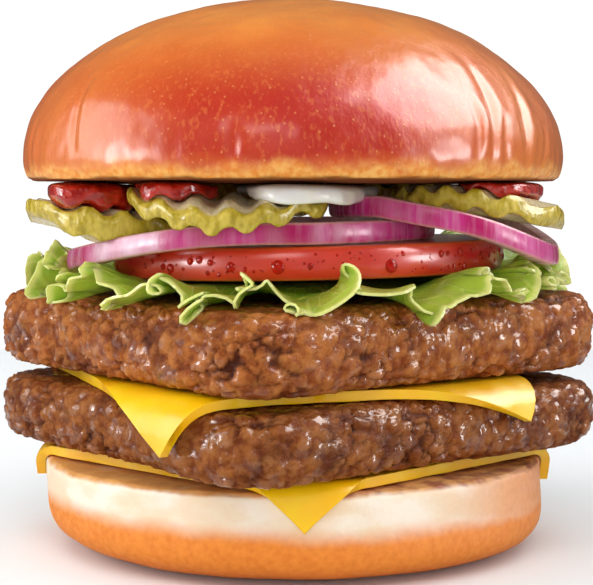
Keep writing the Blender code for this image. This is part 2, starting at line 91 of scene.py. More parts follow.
# Lettuce, tomato and onion
LEAF_RADIUS = 51.0 * MM
LEAF_FLAT_RADIUS = 30.0 * MM
LEAF_ROOM = 3.8 * MM
LEAF_THICKNESS = 0.45 * MM
LEAF_FOLDS = 18
LEAF_FOLD_HEIGHT = 3.6 * MM
LEAF_SIDE_LIFT = 3.0 * MM
LEAF_BACK_LIFT = 4.5 * MM
LEAF_GAP_ABOVE = 0.6 * MM
LEAF_GAP_BELOW = 0.5 * MM
TOMATO_CENTRE = (3.0 * MM, 0.0)
TOMATO_RADIUS = 37.7 * MM
TOMATO_BASE = 52.2 * MM
TOMATO_THICKNESS = 6.0 * MM
TOMATO_TOP = TOMATO_BASE + TOMATO_THICKNESS
TOMATO_TILT = math.radians(1.2)
TOMATO_BULGE = 1.2 * MM
TOMATO_CUT_MARK = 1.3
ONION_WALL = 2.7 * MM
ONION_HEIGHT = 3.8 * MM
LOW_ONION_CENTRE = (-8.0 * MM, -5.0 * MM)
LOW_ONION_RADIUS = 35.0 * MM
HIGH_ONION_CENTRE = (27.9 * MM, -14.0 * MM)
HIGH_ONION_RADIUS = 21.3 * MM

# Pickle slices
PICKLE_THICKNESS = 3.2 * MM
PICKLE_RIDGES = 6
RIDGE_HEIGHT = 0.65 * MM
PICKLE_FACE_SHARE = 0.955
BACK_PICKLE_EXTRA = 0.9 * MM


def srgb(red, green, blue):
    """A screen colour, each part from 0 to 255, as a node's colour socket takes it."""
    values = []
    for part in (red, green, blue):
        share = part / 255
        values.append(share / 12.92 if share <= 0.04045 else ((share + 0.055) / 1.055) ** 2.4)
    return (*values, 1.0)


def smoothstep(value):
    value = min(max(value, 0.0), 1.0)
    return value * value * (3.0 - 2.0 * value)


def powered(value, power):
    """A power of the value's size, with the value's sign."""
    return math.copysign(abs(value) ** power, value)


# Making and shaping meshes
def select_only(obj):
    bpy.ops.object.select_all(action="DESELECT")
    obj.select_set(True)
    bpy.context.view_layer.objects.active = obj


def spun(name, profile, steps, closed=False):
    """A line of (radius, height) points turned once round Z with the spin tool."""
    mesh = bpy.data.meshes.new(name)
    edges = [(i, i + 1) for i in range(len(profile) - 1)]
    if closed:
        edges.append((len(profile) - 1, 0))
    mesh.from_pydata([(radius, 0.0, height) for radius, height in profile], edges, [])
    obj = bpy.data.objects.new(name, mesh)
    bpy.context.scene.collection.objects.link(obj)
    select_only(obj)
    bpy.ops.object.mode_set(mode="EDIT")
    bpy.ops.mesh.select_all(action="SELECT")
    bpy.ops.mesh.spin(steps=steps, angle=math.tau, center=(0, 0, 0), axis=(0, 0, 1))
    bpy.ops.mesh.select_all(action="SELECT")
    bpy.ops.mesh.remove_doubles(threshold=0.005 * MM)
    bpy.ops.mesh.normals_make_consistent(inside=False)
    bpy.ops.object.mode_set(mode="OBJECT")
    return obj


def reshape(obj, move):
    """Moves every vertex of a piece to move(its point)."""
    for vertex in obj.data.vertices:
        vertex.co = move(vertex.co)
    obj.data.update()


def emboss(obj, rise):
    """Moves every vertex along its own normal by rise(its point, its normal)."""
    count = len(obj.data.vertices)
    normals = np.zeros(count * 3)
    obj.data.vertex_normals.foreach_get("vector", normals)
    normals = normals.reshape(-1, 3)
    for vertex, normal in zip(obj.data.vertices, normals):
        direction = Vector(normal)
        vertex.co = vertex.co + direction * rise(vertex.co, direction)
    obj.data.update()


def mark(obj, name, value):
    """Stores value(point), three numbers, on each vertex for the piece's finish to read."""
    attribute = obj.data.attributes.new(name, "FLOAT_VECTOR", "POINT")
    for item, vertex in zip(attribute.data, obj.data.vertices):
        item.vector = value(vertex.co)


def apply_modifier(obj, kind, **settings):
    modifier = obj.modifiers.new(kind.lower(), kind)
    for key, value in settings.items():
        setattr(modifier, key, value)
    select_only(obj)
    bpy.ops.object.modifier_apply(modifier=modifier.name)


def outwards(obj):
    select_only(obj)
    bpy.ops.object.mode_set(mode="EDIT")
    bpy.ops.mesh.select_all(action="SELECT")
    bpy.ops.mesh.normals_make_consistent(inside=False)
    bpy.ops.object.mode_set(mode="OBJECT")


def finish_piece(obj, material, node=None, angle=60.0):
    """Smooths a piece, gives it its finish and ties it to the burger."""
    select_only(obj)
    bpy.ops.object.shade_smooth_by_angle(angle=math.radians(angle))
    obj.data.materials.clear()
    obj.data.materials.append(material)
    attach(obj, "root")
    if node:
        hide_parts(node)


def arc_points(centre, radii, start, end, count, power=1.0):
    """Points of an arc in the (radius, height) plane, angles in degrees."""
    points = []
    for i in range(count):
        angle = math.radians(start + (end - start) * i / (count - 1))
        across = powered(math.cos(angle), power)
        up = powered(math.sin(angle), power)
        points.append((centre[0] + radii[0] * across, centre[1] + radii[1] * up))
    return points


def evenly(first, last, count):
    """Points on a straight line from after the first point to the last one."""
    return [
        (
            first[0] + (last[0] - first[0]) * i / count,
            first[1] + (last[1] - first[1]) * i / count,
        )
        for i in range(1, count + 1)
    ]


def distance(x, y, centre):
    return math.hypot(x - centre[0], y - centre[1])


def bearing_of(point):
    """Bearing of a point from the front, in degrees, positive to the right."""
    return math.degrees(math.atan2(point.x, -point.y))


def round_axis(point, third):
    """The direction of a point from the axis, as two numbers without a jump, and a third."""
    angle = math.atan2(point.y, point.x)
    return math.cos(angle), math.sin(angle), third


def ripple(point, size, seed=0.0):
    """Smooth unevenness from -1 to 1 with bumps of about that size."""
    return noise.noise(point / size + Vector((seed, 2.0 * seed, 0.0)))


def cells(point, size, seed=0.0):
    """Distances to the nearest and second nearest crumb middle, in crumb sizes."""
    near, _ = noise.voronoi(point / size + Vector((seed, seed, seed)))
    return near[0], near[1]


# Nodes of the finishes
def join(tree, value, socket):
    if isinstance(value, bpy.types.NodeSocket):
        tree.links.new(value, socket)
    else:
        socket.default_value = value


def add_node(tree, kind, inputs=None, **settings):
    node = tree.nodes.new(kind)
    for key, value in settings.items():
        setattr(node, key, value)
    for key, value in (inputs or {}).items():
        join(tree, value, node.inputs[key])
    return node


def calculate(tree, operation, *values):
    node = add_node(tree, "ShaderNodeMath", operation=operation)
    for socket, value in zip(node.inputs, values):
        join(tree, value, socket)
    return node.outputs[0]


def blend(tree, mask, first, second):
    """The first colour where the mask is 0, the second where it is 1."""
    node = add_node(tree, "ShaderNodeMix", data_type="RGBA")
    join(tree, mask, node.inputs[0])
    join(tree, first, node.inputs[6])
    join(tree, second, node.inputs[7])
    return node.outputs[2]


def between(tree, value, low, high, at_low=0.0, at_high=1.0):
    """A value eased from at_low to at_high as it goes from low to high."""
    node = add_node(tree, "ShaderNodeMapRange", interpolation_type="SMOOTHSTEP")
    for socket, number in zip(node.inputs, (value, low, high, at_low, at_high)):
        join(tree, number, socket)
    return node.outputs[0]


def new_group(name, inputs, outputs):
    """A node group, with the sockets it takes in and puts out."""
    group = bpy.data.node_groups.new(name, "ShaderNodeTree")
    for label, kind, value in inputs:
        socket = group.interface.new_socket(label, in_out="INPUT", socket_type=kind)
        if value is not None:
            socket.default_value = value
    for label, kind in outputs:
        group.interface.new_socket(label, in_out="OUTPUT", socket_type=kind)
    return group, group.nodes.new("NodeGroupInput"), group.nodes.new("NodeGroupOutput")


def patches_group():
    """Soft patches of a size, cut off between two levels of the noise."""
    group, taken, given = new_group(
        "patches",
        [("Vector", "NodeSocketVector", None), ("Size", "NodeSocketFloat", 5 * MM),
         ("Detail", "NodeSocketFloat", 3.0), ("Low", "NodeSocketFloat", 0.4),
         ("High", "NodeSocketFloat", 0.6)],
        [("Mask", "NodeSocketFloat")],
    )
    scale = calculate(group, "DIVIDE", 1.0, taken.outputs["Size"])
    cloud = add_node(group, "ShaderNodeTexNoise", {
        "Vector": taken.outputs["Vector"], "Scale": scale, "Detail": taken.outputs["Detail"],
    })
    mask = between(group, cloud.outputs["Fac"], taken.outputs["Low"], taken.outputs["High"])
    group.links.new(mask, given.inputs["Mask"])
    return group


def dots_group():
    """Small round dots or bubbles, some left out, with the height of a dome."""
    group, taken, given = new_group(
        "dots",
        [("Vector", "NodeSocketVector", None), ("Spacing", "NodeSocketFloat", 2 * MM),
         ("Radius", "NodeSocketFloat", 0.2), ("Share", "NodeSocketFloat", 0.5)],
        [("Mask", "NodeSocketFloat")],
    )
    scale = calculate(group, "DIVIDE", 1.0, taken.outputs["Spacing"])
    field = add_node(group, "ShaderNodeTexVoronoi", {
        "Vector": taken.outputs["Vector"], "Scale": scale,
    })
    dome = between(group, field.outputs["Distance"], taken.outputs["Radius"], 0.0)
    split = add_node(group, "ShaderNodeSeparateColor", {"Color": field.outputs["Color"]})
    kept = calculate(group, "LESS_THAN", split.outputs[0], taken.outputs["Share"])
    group.links.new(calculate(group, "MULTIPLY", dome, kept), given.inputs["Mask"])
    return group


def relief_group():
    """Height of a surface's fine unevenness, from two sizes of noise."""
    group, taken, given = new_group(
        "relief",
        [("Vector", "NodeSocketVector", None), ("Size", "NodeSocketFloat", 2 * MM),
         ("Depth", "NodeSocketFloat", 0.2 * MM), ("Fine Size", "NodeSocketFloat", 0.5 * MM),
         ("Fine Depth", "NodeSocketFloat", 0.05 * MM)],
        [("Height", "NodeSocketFloat")],
    )
    total = None
    for size, depth, detail in (("Size", "Depth", 2.0), ("Fine Size", "Fine Depth", 3.0)):
        scale = calculate(group, "DIVIDE", 1.0, taken.outputs[size])
        cloud = add_node(group, "ShaderNodeTexNoise", {
            "Vector": taken.outputs["Vector"], "Scale": scale, "Detail": detail,
        })
        height = calculate(group, "MULTIPLY", cloud.outputs["Fac"], taken.outputs[depth])
        total = height if total is None else calculate(group, "ADD", total, height)
    group.links.new(total, given.inputs["Height"])
    return group


PATCHES = patches_group()
DOTS = dots_group()
RELIEF = relief_group()


def use_group(tree, group, **inputs):
    """A shared group placed in a finish. Underscores stand for the spaces in socket names."""
    node = add_node(tree, "ShaderNodeGroup")
    node.node_tree = group
    for key, value in inputs.items():
        join(tree, value, node.inputs[key.replace("_", " ")])
    return node.outputs[0]


def patchy(tree, vector, size, detail, low, high):
    """Soft patches of that size: 0 where the noise is low and 1 where it is high."""
    return use_group(tree, PATCHES, Vector=vector, Size=size, Detail=detail, Low=low, High=high)


def rough_height(tree, vector, size, depth, fine_size, fine_depth):
    """Height of a surface with unevenness of two sizes, for its bump."""
    return use_group(
        tree, RELIEF, Vector=vector, Size=size, Depth=depth, Fine_Size=fine_size,
        Fine_Depth=fine_depth,
    )


def toned(tree, colour, mask, share, other):
    """The colour, with up to that share of another where the mask is 1."""
    return blend(tree, calculate(tree, "MULTIPLY", mask, share), colour, other)


def part_of(tree, vector, axis):
    """The X, Y or Z of a vector."""
    return add_node(tree, "ShaderNodeSeparateXYZ", {"Vector": vector}).outputs[axis]


def stored(tree, name, output):
    """What the mesh stores under that name."""
    return add_node(tree, "ShaderNodeAttribute", attribute_name=name).outputs[output]


def new_finish(name, **constants):
    """A material, its node tree, its shader and the place on the piece."""
    material = bpy.data.materials.new(name)
    material.use_nodes = True
    tree = material.node_tree
    shader = tree.nodes["Principled BSDF"]
    for key, value in constants.items():
        shader.inputs[key.replace("_", " ")].default_value = value
    place = add_node(tree, "ShaderNodeTexCoord").outputs["Object"]
    return material, tree, shader, place


def vary_roughness(tree, shader, mask, at_low, at_high):
    join(tree, between(tree, mask, 0.0, 1.0, at_low, at_high), shader.inputs["Roughness"])


def set_translucency(shader, radius, scale):
    """How deep red, green and blue light go in, in metres, and how much of that is used."""
    shader.inputs["Subsurface Radius"].default_value = radius
    shader.inputs["Subsurface Scale"].default_value = scale


def set_bump(tree, shader, height):
    """Relief from a height in metres."""
    bump = add_node(tree, "ShaderNodeBump", {"Height": height, "Strength": 1.0, "Distance": 1.0})
    tree.links.new(bump.outputs["Normal"], shader.inputs["Normal"])


def wavered(tree, place, height, size, reach):
    """The height, made to waver by patches, so that a band's edge isn't a straight line."""
    cloud = add_node(tree, "ShaderNodeTexNoise", {
        "Vector": place, "Scale": 1 / size, "Detail": 3.0,
    })
    shift = calculate(tree, "SUBTRACT", cloud.outputs["Fac"], 0.5)
    return calculate(tree, "MULTIPLY_ADD", shift, 2 * reach, height)


def stretched(tree, place, stretch):
    """The place with its axes scaled, for a pattern drawn out along one of them."""
    return add_node(tree, "ShaderNodeMapping", {"Vector": place, "Scale": stretch}).outputs[0]


def crust_finish():
    """Baked brown crust with a soft shine, blistered, paler towards its cut rim; painted highlights
    at top and sides, painted shade on its cut face.
    """
    material, tree, shader, place = new_finish(
        "crust", Coat_Roughness=0.24, Coat_IOR=1.5, Specular_IOR_Level=0.2
    )
    height = wavered(tree, place, part_of(tree, place, "Z"), 16 * MM, 3.0 * MM)
    low = between(tree, height, CROWN_BASE + 1.3 * MM, CROWN_BASE + 5.0 * MM)
    # Paler orange towards the top: partly the crust's own colour, partly a painted highlight where
    # the light from above falls.
    high = between(tree, height, CROWN_BASE + 12.5 * MM, CROWN_TOP - 3.1 * MM)
    brown = blend(tree, low, srgb(204, 88, 28), srgb(178, 30, 4))
    brown = blend(tree, high, brown, srgb(250, 156, 62))
    # Lighter orange at the left and right: a painted highlight where the side softboxes light the
    # bun.
    from_middle = calculate(tree, "ABSOLUTE", part_of(tree, place, "X"))
    aside = between(tree, from_middle, 14 * MM, 42 * MM)
    brown = toned(tree, brown, aside, 0.75, srgb(230, 132, 54))
    patches = patchy(tree, place, 11 * MM, 4.0, 0.3, 0.75)
    brown = toned(tree, brown, patches, 0.35, srgb(206, 76, 16))
    flecks = patchy(tree, stretched(tree, place, (1.0, 1.0, 0.5)), 0.8 * MM, 4.0, 0.5, 0.72)
    brown = toned(tree, brown, flecks, 0.3, srgb(230, 134, 62))
    edge_height = wavered(tree, place, part_of(tree, place, "Z"), 5 * MM, 2.6 * MM)
    rim = between(tree, edge_height, CROWN_BASE + 3.9 * MM, CROWN_BASE + 0.9 * MM)
    pores = patchy(tree, place, 1.2 * MM, 5.0, 0.3, 0.7)
    gold = blend(tree, pores, srgb(236, 146, 54), srgb(250, 190, 104))
    brown = toned(tree, brown, rim, 0.9, gold)
    # The cut face underneath is painted dark brown: painted shade under the bun, where the bread
    # itself is pale.
    normal = add_node(tree, "ShaderNodeNewGeometry").outputs["Normal"]
    cut = between(tree, part_of(tree, normal, "Z"), -0.55, -0.9)
    brown = blend(tree, cut, brown, srgb(134, 70, 30))
    blisters = use_group(tree, DOTS, Vector=place, Spacing=1.3 * MM, Radius=0.24, Share=0.6)
    brown = toned(tree, brown, blisters, 0.6, srgb(236, 150, 78))
    join(tree, brown, shader.inputs["Base Color"])
    vary_roughness(tree, shader, cut, 0.4, 0.9)
    dull = calculate(tree, "MAXIMUM", cut, calculate(tree, "MULTIPLY", rim, 0.8))
    tree.links.new(between(tree, dull, 0.0, 1.0, 0.85, 0.0), shader.inputs["Coat Weight"])
    upright = stretched(tree, place, (1.0, 1.0, 0.6))
    peel = rough_height(tree, upright, 1.6 * MM, 0.17 * MM, 0.5 * MM, 0.08 * MM)
    domes = calculate(tree, "MULTIPLY", blisters, 0.08 * MM)
    set_bump(tree, shader, calculate(tree, "ADD", peel, domes))
    return material


def bread_finish():
    """The lower bun: pale where it wasn't baked, golden below, toasted at the cut."""
    material, tree, shader, place = new_finish("soft_bread", Subsurface_Weight=0.15)
    set_translucency(shader, (0.004, 0.002, 0.001), 1.0)
    base = part_of(tree, place, "Z")
    height = wavered(tree, place, base, 16 * MM, 2.0 * MM)
    aside = part_of(tree, place, "X")
    golden = between(tree, height, HEEL_HEIGHT - 4.9 * MM, HEEL_HEIGHT - 9.1 * MM)
    golden_side = between(tree, aside, 22 * MM, 44 * MM, 0.0, 0.8)
    golden = calculate(tree, "MAXIMUM", golden, golden_side)
    grain = patchy(tree, place, 1.3 * MM, 4.0, 0.25, 0.8)
    clouds = patchy(tree, stretched(tree, place, (0.5, 0.5, 1.0)), 5 * MM, 4.0, 0.35, 0.65)
    pale = blend(tree, clouds, srgb(248, 234, 216), srgb(240, 216, 184))
    baked = blend(tree, grain, srgb(240, 142, 40), srgb(226, 124, 30))
    foot = between(tree, base, 4.5 * MM, 0.5 * MM)
    baked = blend(tree, foot, baked, srgb(226, 118, 34))
    colour = blend(tree, golden, pale, baked)
    toast_height = wavered(tree, place, base, 6 * MM, 0.9 * MM)
    toast = between(tree, toast_height, HEEL_HEIGHT - 1.2 * MM, HEEL_HEIGHT - 0.3 * MM)
    burnt = patchy(tree, place, 4 * MM, 5.0, 0.35, 0.65)
    right = between(tree, aside, -12 * MM, 14 * MM, 0.25, 1.0)
    burnt = calculate(tree, "MULTIPLY", burnt, right)
    crumb = blend(tree, burnt, srgb(226, 162, 88), srgb(156, 78, 30))
    colour = blend(tree, toast, colour, crumb)
    join(tree, colour, shader.inputs["Base Color"])
    vary_roughness(tree, shader, grain, 0.62, 0.78)
    set_bump(tree, shader, rough_height(tree, place, 1.2 * MM, 0.10 * MM, 0.4 * MM, 0.05 * MM))
    return material


def cheese_finish():
    """Melted processed cheese, smooth and softly shining."""
    material, tree, shader, place = new_finish(
        "melted_cheese", Subsurface_Weight=0.2, Coat_Weight=0.2, Coat_Roughness=0.16
    )
    set_translucency(shader, (0.004, 0.002, 0.0004), 0.8)
    warm = patchy(tree, place, 9 * MM, 3.0, 0.3, 0.7)
    colour = blend(tree, warm, srgb(255, 204, 2), srgb(255, 188, 0))
    join(tree, colour, shader.inputs["Base Color"])
    smear = patchy(tree, place, 4 * MM, 3.0, 0.3, 0.7)
    vary_roughness(tree, shader, smear, 0.28, 0.42)
    set_bump(tree, shader, rough_height(tree, place, 3.5 * MM, 0.10 * MM, 0.8 * MM, 0.012 * MM))
    return material


def beef_finish():
    """Seared ground beef: brown crumb with darker seared spots, wet with fat in patches; painted
    shade in its pits and on the lower patty, painted highlight on its crests.
    """
    material, tree, shader, place = new_finish(
        "seared_beef", Coat_Roughness=0.13, Coat_IOR=1.5, Specular_IOR_Level=0.12
    )
    crumb = patchy(tree, place, 2.2 * MM, 6.0, 0.36, 0.64)
    brown = blend(tree, crumb, srgb(134, 64, 22), srgb(174, 102, 46))
    sear = patchy(tree, place, 8 * MM, 4.0, 0.48, 0.7)
    brown = toned(tree, brown, sear, 0.75, srgb(92, 36, 14))
    tan = patchy(tree, stretched(tree, place, (1.2, 0.9, 1.4)), 4.0 * MM, 5.0, 0.54, 0.7)
    brown = toned(tree, brown, tan, 0.6, srgb(186, 120, 62))
    crest = stored(tree, "crumb", "Fac")
    # Darker in the pits between the grains and lighter on their crests: painted shade and painted
    # highlight that follow the relief.
    brown = blend(tree, between(tree, crest, 0.6, 0.15), brown, srgb(72, 28, 9))
    brown = blend(tree, between(tree, crest, 0.7, 1.0, 0.0, 0.5), brown, srgb(192, 122, 60))
    # The lower patty is painted darker: painted shade under the upper patty.
    low = UPPER_PATTY_BASE - 4.3 * MM
    high = UPPER_PATTY_BASE + 3.7 * MM
    brightness = between(tree, part_of(tree, place, "Z"), low, high, LOWER_PATTY_SHADE, 1.0)
    shade = add_node(tree, "ShaderNodeHueSaturation", {"Value": brightness, "Color": brown})
    join(tree, shade.outputs["Color"], shader.inputs["Base Color"])
    wet = patchy(tree, place, 3.2 * MM, 4.0, 0.47, 0.58)
    vary_roughness(tree, shader, wet, 0.6, 0.34)
    coat = calculate(tree, "MULTIPLY", wet, between(tree, crest, 0.35, 0.75))
    tree.links.new(coat, shader.inputs["Coat Weight"])
    set_bump(tree, shader, rough_height(tree, place, 1.1 * MM, 0.50 * MM, 0.4 * MM, 0.14 * MM))
    return material


def lettuce_finish():
    """A fresh leaf, pale at its frilled edge and along its veins."""
    material, tree, shader, place = new_finish(
        "lettuce_leaf", Subsurface_Weight=0.5, Coat_Weight=0.15, Coat_Roughness=0.3
    )
    set_translucency(shader, (0.0012, 0.0016, 0.0004), 1.0)
    leaf = stored(tree, "leaf", "Vector")
    reach = part_of(tree, leaf, "Z")
    patches = patchy(tree, place, 7 * MM, 4.0, 0.35, 0.68)
    green = blend(tree, patches, srgb(104, 150, 24), srgb(154, 188, 44))
    veins = add_node(tree, "ShaderNodeTexVoronoi", {
        "Vector": stretched(tree, leaf, (26.0, 26.0, 5.0)), "Scale": 1.0,
    }, feature="DISTANCE_TO_EDGE").outputs["Distance"]
    vein = between(tree, veins, 0.07, 0.0)
    green = toned(tree, green, vein, 0.5, srgb(200, 214, 112))
    frill = between(tree, reach, 0.7, 0.96)
    green = toned(tree, green, frill, 0.45, srgb(190, 206, 78))
    rim = between(tree, reach, 0.965, 0.995)
    green = toned(tree, green, rim, 0.85, srgb(226, 230, 142))
    join(tree, green, shader.inputs["Base Color"])
    vary_roughness(tree, shader, patches, 0.34, 0.5)
    ribs = calculate(tree, "MULTIPLY", vein, 0.12 * MM)
    skin = rough_height(tree, place, 2.6 * MM, 0.28 * MM, 0.6 * MM, 0.03 * MM)
    set_bump(tree, shader, calculate(tree, "ADD", ribs, skin))
    return material


def tomato_finish():
    """A tomato slice: tight red skin round it and wet flesh on its cut faces."""
    material, tree, shader, place = new_finish(
        "tomato_slice", Subsurface_Weight=0.25, Coat_Roughness=0.2, Coat_Weight=1.0
    )
    set_translucency(shader, (0.005, 0.0012, 0.0006), 0.8)
    around = stored(tree, "around", "Vector")
    share = part_of(tree, around, "Z")
    patches = patchy(tree, place, 14 * MM, 3.0, 0.35, 0.7)
    red = blend(tree, patches, srgb(202, 14, 12), srgb(228, 56, 22))
    edge = between(tree, share, 0.74, 0.96)
    red = toned(tree, red, edge, 0.7, srgb(238, 104, 44))
    specks = use_group(tree, DOTS, Vector=place, Spacing=1.3 * MM, Radius=0.16, Share=0.4)
    red = toned(tree, red, specks, 0.5, srgb(228, 120, 70))
    flesh = patchy(tree, place, 5 * MM, 5.0, 0.4, 0.6)
    cut = blend(tree, flesh, srgb(206, 62, 34), srgb(232, 120, 76))
    red = blend(tree, between(tree, share, 1.05, 1.25), red, cut)
    join(tree, red, shader.inputs["Base Color"])
    vary_roughness(tree, shader, patches, 0.3, 0.42)
    skin = rough_height(tree, place, 6 * MM, 0.03 * MM, 0.6 * MM, 0.006 * MM)
    set_bump(tree, shader, skin)
    return material


def onion_finish():
    """A raw red onion ring: purple skin with soft pale streaks and painted reflections of the side
    lights, pale where it is cut.
    """
    material, tree, shader, place = new_finish(
        "red_onion", Subsurface_Weight=0.25, Coat_Weight=0.2, Coat_Roughness=0.2
    )
    set_translucency(shader, (0.003, 0.0015, 0.002), 0.7)
    around = stored(tree, "around", "Vector")
    tint = stored(tree, "tint", "Vector")
    parts = add_node(tree, "ShaderNodeSeparateXYZ", {"Vector": tint})
    skin_side, pale, edge = parts.outputs["X"], parts.outputs["Y"], parts.outputs["Z"]
    upright = stretched(tree, around, (1.0, 1.0, 0.02))
    streak = patchy(tree, upright, 0.05, 5.0, 0.4, 0.72)
    wide = patchy(tree, upright, 0.3, 4.0, 0.35, 0.7)
    blotch = patchy(tree, place, 2.4 * MM, 5.0, 0.3, 0.7)
    purple = blend(tree, wide, srgb(182, 14, 94), srgb(208, 54, 140))
    # Paler skin where the tint marks it: partly the skin's own paleness, partly a painted
    # reflection of the side lights.
    whole = calculate(tree, "MULTIPLY", pale, between(tree, blotch, 0.0, 1.0, 0.75, 1.0))
    soft = calculate(tree, "MULTIPLY", streak, 0.2)
    fade = calculate(tree, "MAXIMUM", whole, soft)
    purple = blend(tree, fade, purple, srgb(232, 196, 214))
    purple = toned(tree, purple, edge, 0.8, srgb(214, 160, 150))
    flesh = blend(tree, wide, srgb(232, 206, 200), srgb(200, 140, 150))
    colour = blend(tree, skin_side, flesh, purple)
    join(tree, colour, shader.inputs["Base Color"])
    vary_roughness(tree, shader, streak, 0.26, 0.4)
    set_bump(tree, shader, calculate(tree, "MULTIPLY", streak, 0.05 * MM))
    return material


def pickle_finish():
    """A crinkle-cut pickle slice: yellow-green rind with warts, pale wet flesh."""
    material, tree, shader, place = new_finish(
        "pickle", Subsurface_Weight=0.3, Coat_Weight=0.25, Coat_Roughness=0.15
    )
    set_translucency(shader, (0.004, 0.003, 0.001), 0.8)
    slice_place = stored(tree, "slice", "Vector")
    reach = part_of(tree, slice_place, "Z")
    upright = stretched(tree, place, (1.0, 1.0, 0.5))
    mottle = patchy(tree, upright, 1.2 * MM, 4.0, 0.3, 0.72)
    rind = blend(tree, mottle, srgb(168, 146, 28), srgb(214, 190, 74))
    flesh = blend(tree, mottle, srgb(242, 230, 192), srgb(222, 202, 142))
    colour = blend(tree, between(tree, reach, 0.90, PICKLE_FACE_SHARE), flesh, rind)
    join(tree, colour, shader.inputs["Base Color"])
    vary_roughness(tree, shader, mottle, 0.22, 0.4)
    warts = rough_height(tree, upright, 1.1 * MM, 0.28 * MM, 0.4 * MM, 0.05 * MM)
    set_bump(tree, shader, warts)
    return material


def ketchup_finish():
    material, tree, shader, place = new_finish(
        "ketchup", Subsurface_Weight=0.2, Coat_Weight=0.8, Coat_Roughness=0.08
    )
    set_translucency(shader, (0.003, 0.0004, 0.0003), 0.6)
    pulp = patchy(tree, place, 1.6 * MM, 4.0, 0.35, 0.7)
    colour = blend(tree, pulp, srgb(158, 18, 8), srgb(196, 40, 18))
    join(tree, colour, shader.inputs["Base Color"])
    vary_roughness(tree, shader, pulp, 0.2, 0.38)
    set_bump(tree, shader, rough_height(tree, place, 2.2 * MM, 0.5 * MM, 0.6 * MM, 0.06 * MM))
    return material


def mayonnaise_finish():
    material, tree, shader, place = new_finish(
        "mayonnaise", Subsurface_Weight=0.5, Coat_Weight=0.3, Coat_Roughness=0.2
    )
    set_translucency(shader, (0.003, 0.0025, 0.0018), 0.8)
    folds = patchy(tree, place, 6 * MM, 2.0, 0.3, 0.7)
    colour = blend(tree, folds, srgb(252, 250, 244), srgb(246, 240, 226))
    join(tree, colour, shader.inputs["Base Color"])
    vary_roughness(tree, shader, folds, 0.3, 0.42)
    set_bump(tree, shader, rough_height(tree, place, 5 * MM, 0.3 * MM, 1.2 * MM, 0.02 * MM))
    return material


def water_finish():
    """Clear juice in the drops on the tomato."""
    material, tree, shader, place = new_finish("clear_drops", IOR=1.4, Transmission_Weight=0.6)
    tint = patchy(tree, place, 8 * MM, 1.0, 0.3, 0.7)
    colour = blend(tree, tint, srgb(206, 34, 20), srgb(226, 56, 34))
    join(tree, colour, shader.inputs["Base Color"])
    vary_roughness(tree, shader, tint, 0.02, 0.06)
    set_bump(tree, shader, rough_height(tree, place, 0.8 * MM, 0.01 * MM, 0.3 * MM, 0.002 * MM))
    return material


# The lower bun
def make_heel():
    foot_run, foot_rise = HEEL_FOOT_ROUNDING
    rim_run, rim_drop = HEEL_RIM_ROUNDING
    rim = (HEEL_RADIUS - rim_run, HEEL_HEIGHT - rim_drop)
    side_top = (HEEL_RADIUS, HEEL_HEIGHT - rim_drop)
    side_foot = (HEEL_RADIUS, foot_rise)
    foot = (HEEL_RADIUS - foot_run, foot_rise)
    profile = [(0.0, HEEL_HEIGHT)]
    profile += evenly((0.0, HEEL_HEIGHT), (HEEL_RADIUS - rim_run, HEEL_HEIGHT), 22)
    profile += arc_points(rim, HEEL_RIM_ROUNDING, 90, 0, 9)[1:]
    profile += evenly(side_top, side_foot, 16)
    profile += arc_points(foot, HEEL_FOOT_ROUNDING, 0, -90, 44, HEEL_FOOT_FULLNESS)[1:]
    profile += evenly((foot[0], 0.0), (0.0, 0.0), 6)
    obj = spun("lower_bun", profile, 360)

    def leaning(point):
        lean = HEEL_LEAN * (1.0 - point.z / HEEL_HEIGHT) ** 2
        return Vector((point.x + lean, point.y, point.z))

    def baked(point, normal):
        rise = 0.28 * MM * ripple(point, 15 * MM, 4.0) + 0.10 * MM * ripple(point, 4 * MM, 5.0)
        if normal.z > 0.5:
            rise += 0.25 * MM * ripple(point, 1.4 * MM, 6.0) - 0.2 * MM
        return rise * smoothstep(point.z / (2 * MM))

    reshape(obj, leaning)
    emboss(obj, baked)
    finish_piece(obj, bread_finish(), "heel")


# The upper bun
CREASE_REACH = 12.0

# Each crease: bearing from the front in degrees, then its foot, top, depth and width in mm
CROWN_CREASES = (
    (-48.0, 74.0, 88.0, 0.75, 0.9),
    (-12.6, 71.5, 80.0, 0.55, 1.3),
    (-9.5, 71.0, 77.0, 0.30, 0.9),
    (6.8, 71.5, 78.0, 0.35, 1.0),
    (37.6, 72.0, 86.0, 0.55, 1.1),
    (43.0, 71.0, 92.0, 0.70, 1.2),
    (47.5, 71.0, 82.0, 0.55, 1.0),
    (55.0, 71.5, 90.0, 0.60, 1.3),
    (62.0, 72.0, 80.0, 0.45, 1.0),
    (-66.0, 72.0, 82.0, 0.40, 1.2),
    (118.0, 71.0, 84.0, 0.55, 1.3),
    (152.0, 72.0, 80.0, 0.40, 1.1),
    (196.0, 71.0, 86.0, 0.60, 1.2),
    (238.0, 71.5, 81.0, 0.45, 1.2),
)


def crown_radius_factor(angle):
    """How far the bun is out of round in a direction, from -1 to 1."""
    return 0.6 * math.sin(2 * angle + 0.7) + 0.4 * math.sin(5 * angle + 2.0)


